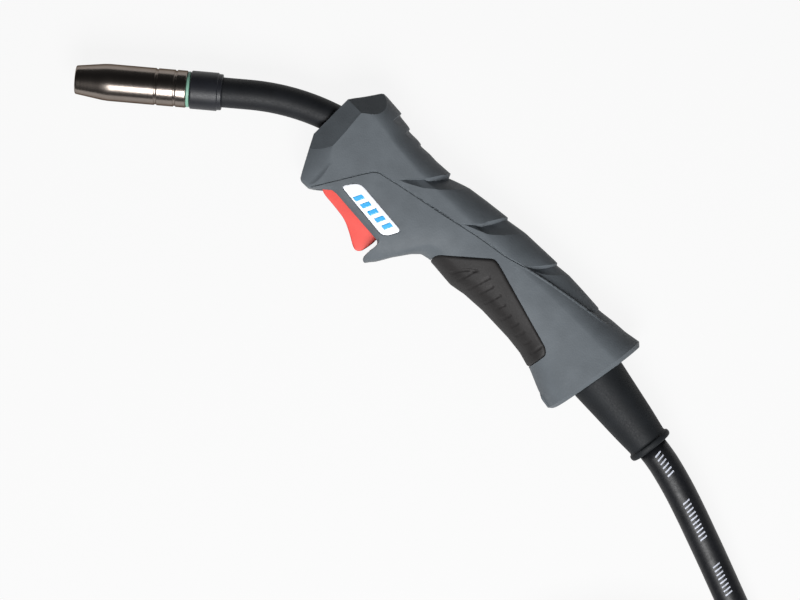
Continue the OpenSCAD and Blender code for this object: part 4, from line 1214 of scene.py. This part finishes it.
BOOT_PROFILE = [
    (CABLE_R + 0.15, -6.4), (14.9, -6.4), (14.9, -4.4), (13.4, -4.2), (13.4, -1), (13.9, 0.3),
    (12.6, 14.5), (11.3, 29), (10.1, BOOT_LEN - 4.4), (10.3, BOOT_LEN - 3.5),
    (11.2, BOOT_LEN - 3.1), (11.4, BOOT_LEN - 2.3), (11.4, BOOT_LEN - 1.4), (11, BOOT_LEN - 0.5),
    (10.1, BOOT_LEN - 0.1), (CABLE_R + 0.5, BOOT_LEN - 0.1), (CABLE_R + 0.15, BOOT_LEN - 0.6),
]
BOOT_ROUND = [0, 0.3, 0.3, 0.3, 0.3, 0.5, 4, 4, 1.2, 0.5, 0.5, 0.4, 0.4, 0.4, 0.4, 0.3, 0]


def make_boot():
    profile = rounded(BOOT_PROFILE, BOOT_ROUND, 4)
    return lathe("cable_boot_moulding", profile, axis_frame(BOOT_AT, BOOT_DIR), boot_rubber)


# ---------------------------------------------------------------- coil ties and plug

TIE_ANGLES = (-30, 110, 200)
TIE_W, TIE_T, TIE_PLAY, TIE_EDGE, TIE_CORNER = 12.0, 1.0, 0.8, 0.25, 7
LAP_T, LAP_START, LAP_END = 0.55, (0.5, 0.62), (2.2, 2.32)  # angles in radians
PLUG_BOOT_LEN, PLUG_BOOT_R = 34.0, 12.5


def loops_at(direction):
    first = (COIL_START - direction + 360) % 360
    return coil_radius(np.arange(first, COIL_TURN, 360))


def strap_ring(direction):
    """One hook-and-loop strap round the bundle of loops, with its lapped end on top."""
    radii = loops_at(direction)
    inner, outer = radii.min() - CABLE_R - TIE_PLAY, radii.max() + CABLE_R + TIE_PLAY
    low = COIL_LOW - CABLE_R - TIE_PLAY / 2
    high = COIL_LOW + LAYER_H + CABLE_R + TIE_PLAY
    corners = [(inner, low), (outer, low), (outer, high), (inner, high)]
    loop = rounded(corners, TIE_CORNER, 8, closed=True)
    centre = loop.mean(axis=0)
    # A lapped end: the strap runs over itself on a stretch of its top side
    angle = np.arctan2(loop[:, 1] - centre[1], loop[:, 0] - centre[0])
    lap = LAP_T * smoothstep(*LAP_START, angle) * (1 - smoothstep(*LAP_END, angle))
    out = np.roll(loop, -1, 0) - np.roll(loop, 1, 0)
    out = np.stack([out[:, 1], -out[:, 0]], 1) / np.linalg.norm(out, axis=1)[:, None]
    rows = []
    edge = TIE_EDGE
    for across, thick in ((-TIE_W / 2, edge), (-TIE_W / 2, TIE_T - edge), (-TIE_W / 2 + edge, TIE_T),
                          (0, TIE_T), (TIE_W / 2 - edge, TIE_T), (TIE_W / 2, TIE_T - edge),
                          (TIE_W / 2, edge), (TIE_W / 2 - edge, 0), (-TIE_W / 2 + edge, 0)):
        ring = loop + out * (thick + (lap if thick > edge else 0 * lap))[:, None]
        rows.append(np.column_stack([ring[:, 0], np.full(len(ring), across), ring[:, 1]]))
    rows = np.array(rows).transpose(1, 0, 2)
    a = math.radians(direction)
    turn = np.array([[math.cos(a), -math.sin(a), 0], [math.sin(a), math.cos(a), 0], [0, 0, 1]])
    points = rows.reshape(-1, 3) @ turn.T + (*COIL_AT, 0)
    n, m = len(loop), rows.shape[1]
    faces = [[i * m + j, i * m + (j + 1) % m, (i + 1) % n * m + (j + 1) % m, (i + 1) % n * m + j]
             for i in range(n) for j in range(m)]
    return points, faces


def make_ties():
    points, faces = joined([strap_ring(direction) for direction in TIE_ANGLES])
    return sharp_by_angle(new_object("coil_tie_straps", at(points), faces, strap_weave), 40)


def make_plug_boot():
    """Ribbed rubber bend relief that ends in the plug's housing."""
    outer = [(CABLE_R + 0.15, 0.4), (CABLE_R + 0.5, 0.0), (PLUG_BOOT_R - 3.6, 0.0)]
    round_at = [0, 0.2, 0.6]
    for k in range(6):
        top, low = PLUG_BOOT_R - 2.4 + 0.3 * k, PLUG_BOOT_R - 3.3 + 0.3 * k
        at_rib = 2 + 4 * k
        outer += [(low, at_rib - 0.5), (top, at_rib), (top, at_rib + 2), (low, at_rib + 2.6)]
        round_at += [0.3, 0.5, 0.5, 0.3]
    outer += [(13.7, 27.3), (13.7, PLUG_BOOT_LEN), (9.0, PLUG_BOOT_LEN), (9.0, 21.9),
              (CABLE_R + 0.15, 21.9)]
    round_at += [0.2, 0, 0, 0, 0]
    return lathe("plug_boot_moulding", rounded(outer, round_at, 3),
                 axis_frame((PLUG_X, PLUG_Y, PLUG_Z), (-1, 0, 0)), boot_rubber)


# ---------------------------------------------------------------- stage

FLOOR_GLOW = 0.9


def light_path_fac(nodes, links, outputs, scale):
    """The strongest of some Light Path outputs, times scale."""
    ray = add_node(nodes, "LightPath")
    times = add_node(nodes, "Math", {1: scale})
    times.operation = "MULTIPLY"
    links.new(strongest(nodes, links, [ray.outputs[name] for name in outputs]), times.inputs[0])
    return times.outputs[0]


def mix_by_ray(nodes, links, rays, share, dim, bright, output):
    """Shows the bright shader to some rays, by the share, and the dim one to the others."""
    mix = add_node(nodes, "MixShader")
    links.new(light_path_fac(nodes, links, rays, share), mix.inputs["Fac"])
    links.new(dim.outputs[0], mix.inputs[1])
    links.new(bright.outputs[0], mix.inputs[2])
    links.new(mix.outputs[0], output.inputs["Surface"])


def add_floor():
    bpy.ops.mesh.primitive_plane_add(size=8, location=(0.1, -0.1, 0))
    floor = bpy.context.object
    floor.name = "floor"
    material = bpy.data.materials.new("floor")
    material.use_nodes = True
    nodes, links = material.node_tree.nodes, material.node_tree.links
    bsdf = set_inputs(nodes["Principled BSDF"], {
        "Base Color": (0.42, 0.42, 0.42, 1), "Roughness": 0.9, "Specular IOR Level": 0.1})
    glow = add_node(nodes, "Emission")
    rays = ["Is Camera Ray", "Is Glossy Ray", "Is Transmission Ray"]
    mix_by_ray(nodes, links, rays, FLOOR_GLOW, bsdf, glow, nodes["Material Output"])
    floor.data.materials.append(material)


def add_world():
    """A soft studio, dim for lighting and reflections, white where the camera sees it."""
    world = bpy.data.worlds.new("studio")
    bpy.context.scene.world = world
    world.use_nodes = True
    nodes, links = world.node_tree.nodes, world.node_tree.links
    place, split = add_node(nodes, "TexCoord"), add_node(nodes, "SeparateXYZ")
    ramp = add_node(nodes, "ValToRGB")
    ramp.color_ramp.elements[0].color = (0.85, 0.87, 0.9, 1)
    ramp.color_ramp.elements[1].color = (0.30, 0.31, 0.33, 1)
    ramp.color_ramp.elements[1].position = 0.7
    links.new(place.outputs["Generated"], split.inputs[0])
    links.new(split.outputs["Z"], ramp.inputs["Fac"])
    soft = set_inputs(nodes["Background"], {"Strength": 0.08})
    links.new(ramp.outputs["Color"], soft.inputs["Color"])
    white = add_node(nodes, "Background", {"Color": (1, 1, 1, 1)})
    rays = ["Is Camera Ray", "Is Transmission Ray"]
    mix_by_ray(nodes, links, rays, 1.0, soft, white, nodes["World Output"])


def add_lamp(name, place, size, energy):
    """Square soft lamp at place, in mm, turned towards the handle."""
    data = bpy.data.lights.new(name, "AREA")
    data.size = size * MM
    data.energy = energy
    lamp = bpy.data.objects.new(name, data)
    lamp.location = at(place)
    aim = Vector(at((0, -10, 0))) - lamp.location
    lamp.rotation_euler = aim.to_track_quat("-Z", "Y").to_euler()
    bpy.context.collection.objects.link(lamp)


for startup in ("Cube", "Light", "Camera"):
    if startup in bpy.data.objects:
        bpy.data.objects.remove(bpy.data.objects[startup])
bpy.context.scene.view_settings.view_transform = "Standard"
add_camera()
path = cable_path()
cable = tube("power_cable", path, CABLE_R, 28, cable_rubber)
dress(cable, ROOT, "cable_rubber", "cable_lead", "cable_coil", "cable_tail")
ties = make_ties()
plug_boot = make_plug_boot()
bars = make_print(path)
control_springs = [
    make_spring(f"control_spring_{k}", along=0, wire_r=0.25, turns=7)
    for k in (1, 2)]
dress_cad_nodes()

base, faces, normals = cut_base()
dress(make_shell("handle_shell_left", base, faces, normals, 1), ROOT, "grey_plastic", "handle_left")
dress(make_shell("handle_shell_right", base, faces, normals, -1), ROOT, "grey_plastic", "handle_right")
dress(make_screw_wells(base), ROOT, "grey_plastic")
dress(make_pad(base, faces, normals), ROOT, "pad_rubber", "grip_pad")
dress(make_badge(base, faces, normals), ROOT, "badge_white", "badge")
dress(make_badge_bars(base, faces, normals), ROOT, "badge_white")
dress(make_trigger(), "trigger_lever", "trigger_red", "trigger")
make_spring("trigger_spring", along=1, wire_r=0.4, turns=6.5)
dress(make_nozzle(), "nozzle", "nickel", "gas_nozzle")
dress(make_ring(), ROOT, "green_plastic", "insulator_ring")
dress(make_collar(), ROOT, "black_plastic", "neck_collar")
dress(make_sleeve(), ROOT, "black_rubber", "neck_sleeve")
dress(make_boot(), ROOT, "boot_rubber", "cable_boot")
dress(ties, ROOT, "strap", "coil_ties")
dress(bars, ROOT, "badge_white")
dress(plug_boot, ROOT, "boot_rubber", "plug_boot")

add_floor()
add_world()
add_lamp("key", place=(455, -455, 952), size=650, energy=22.5)
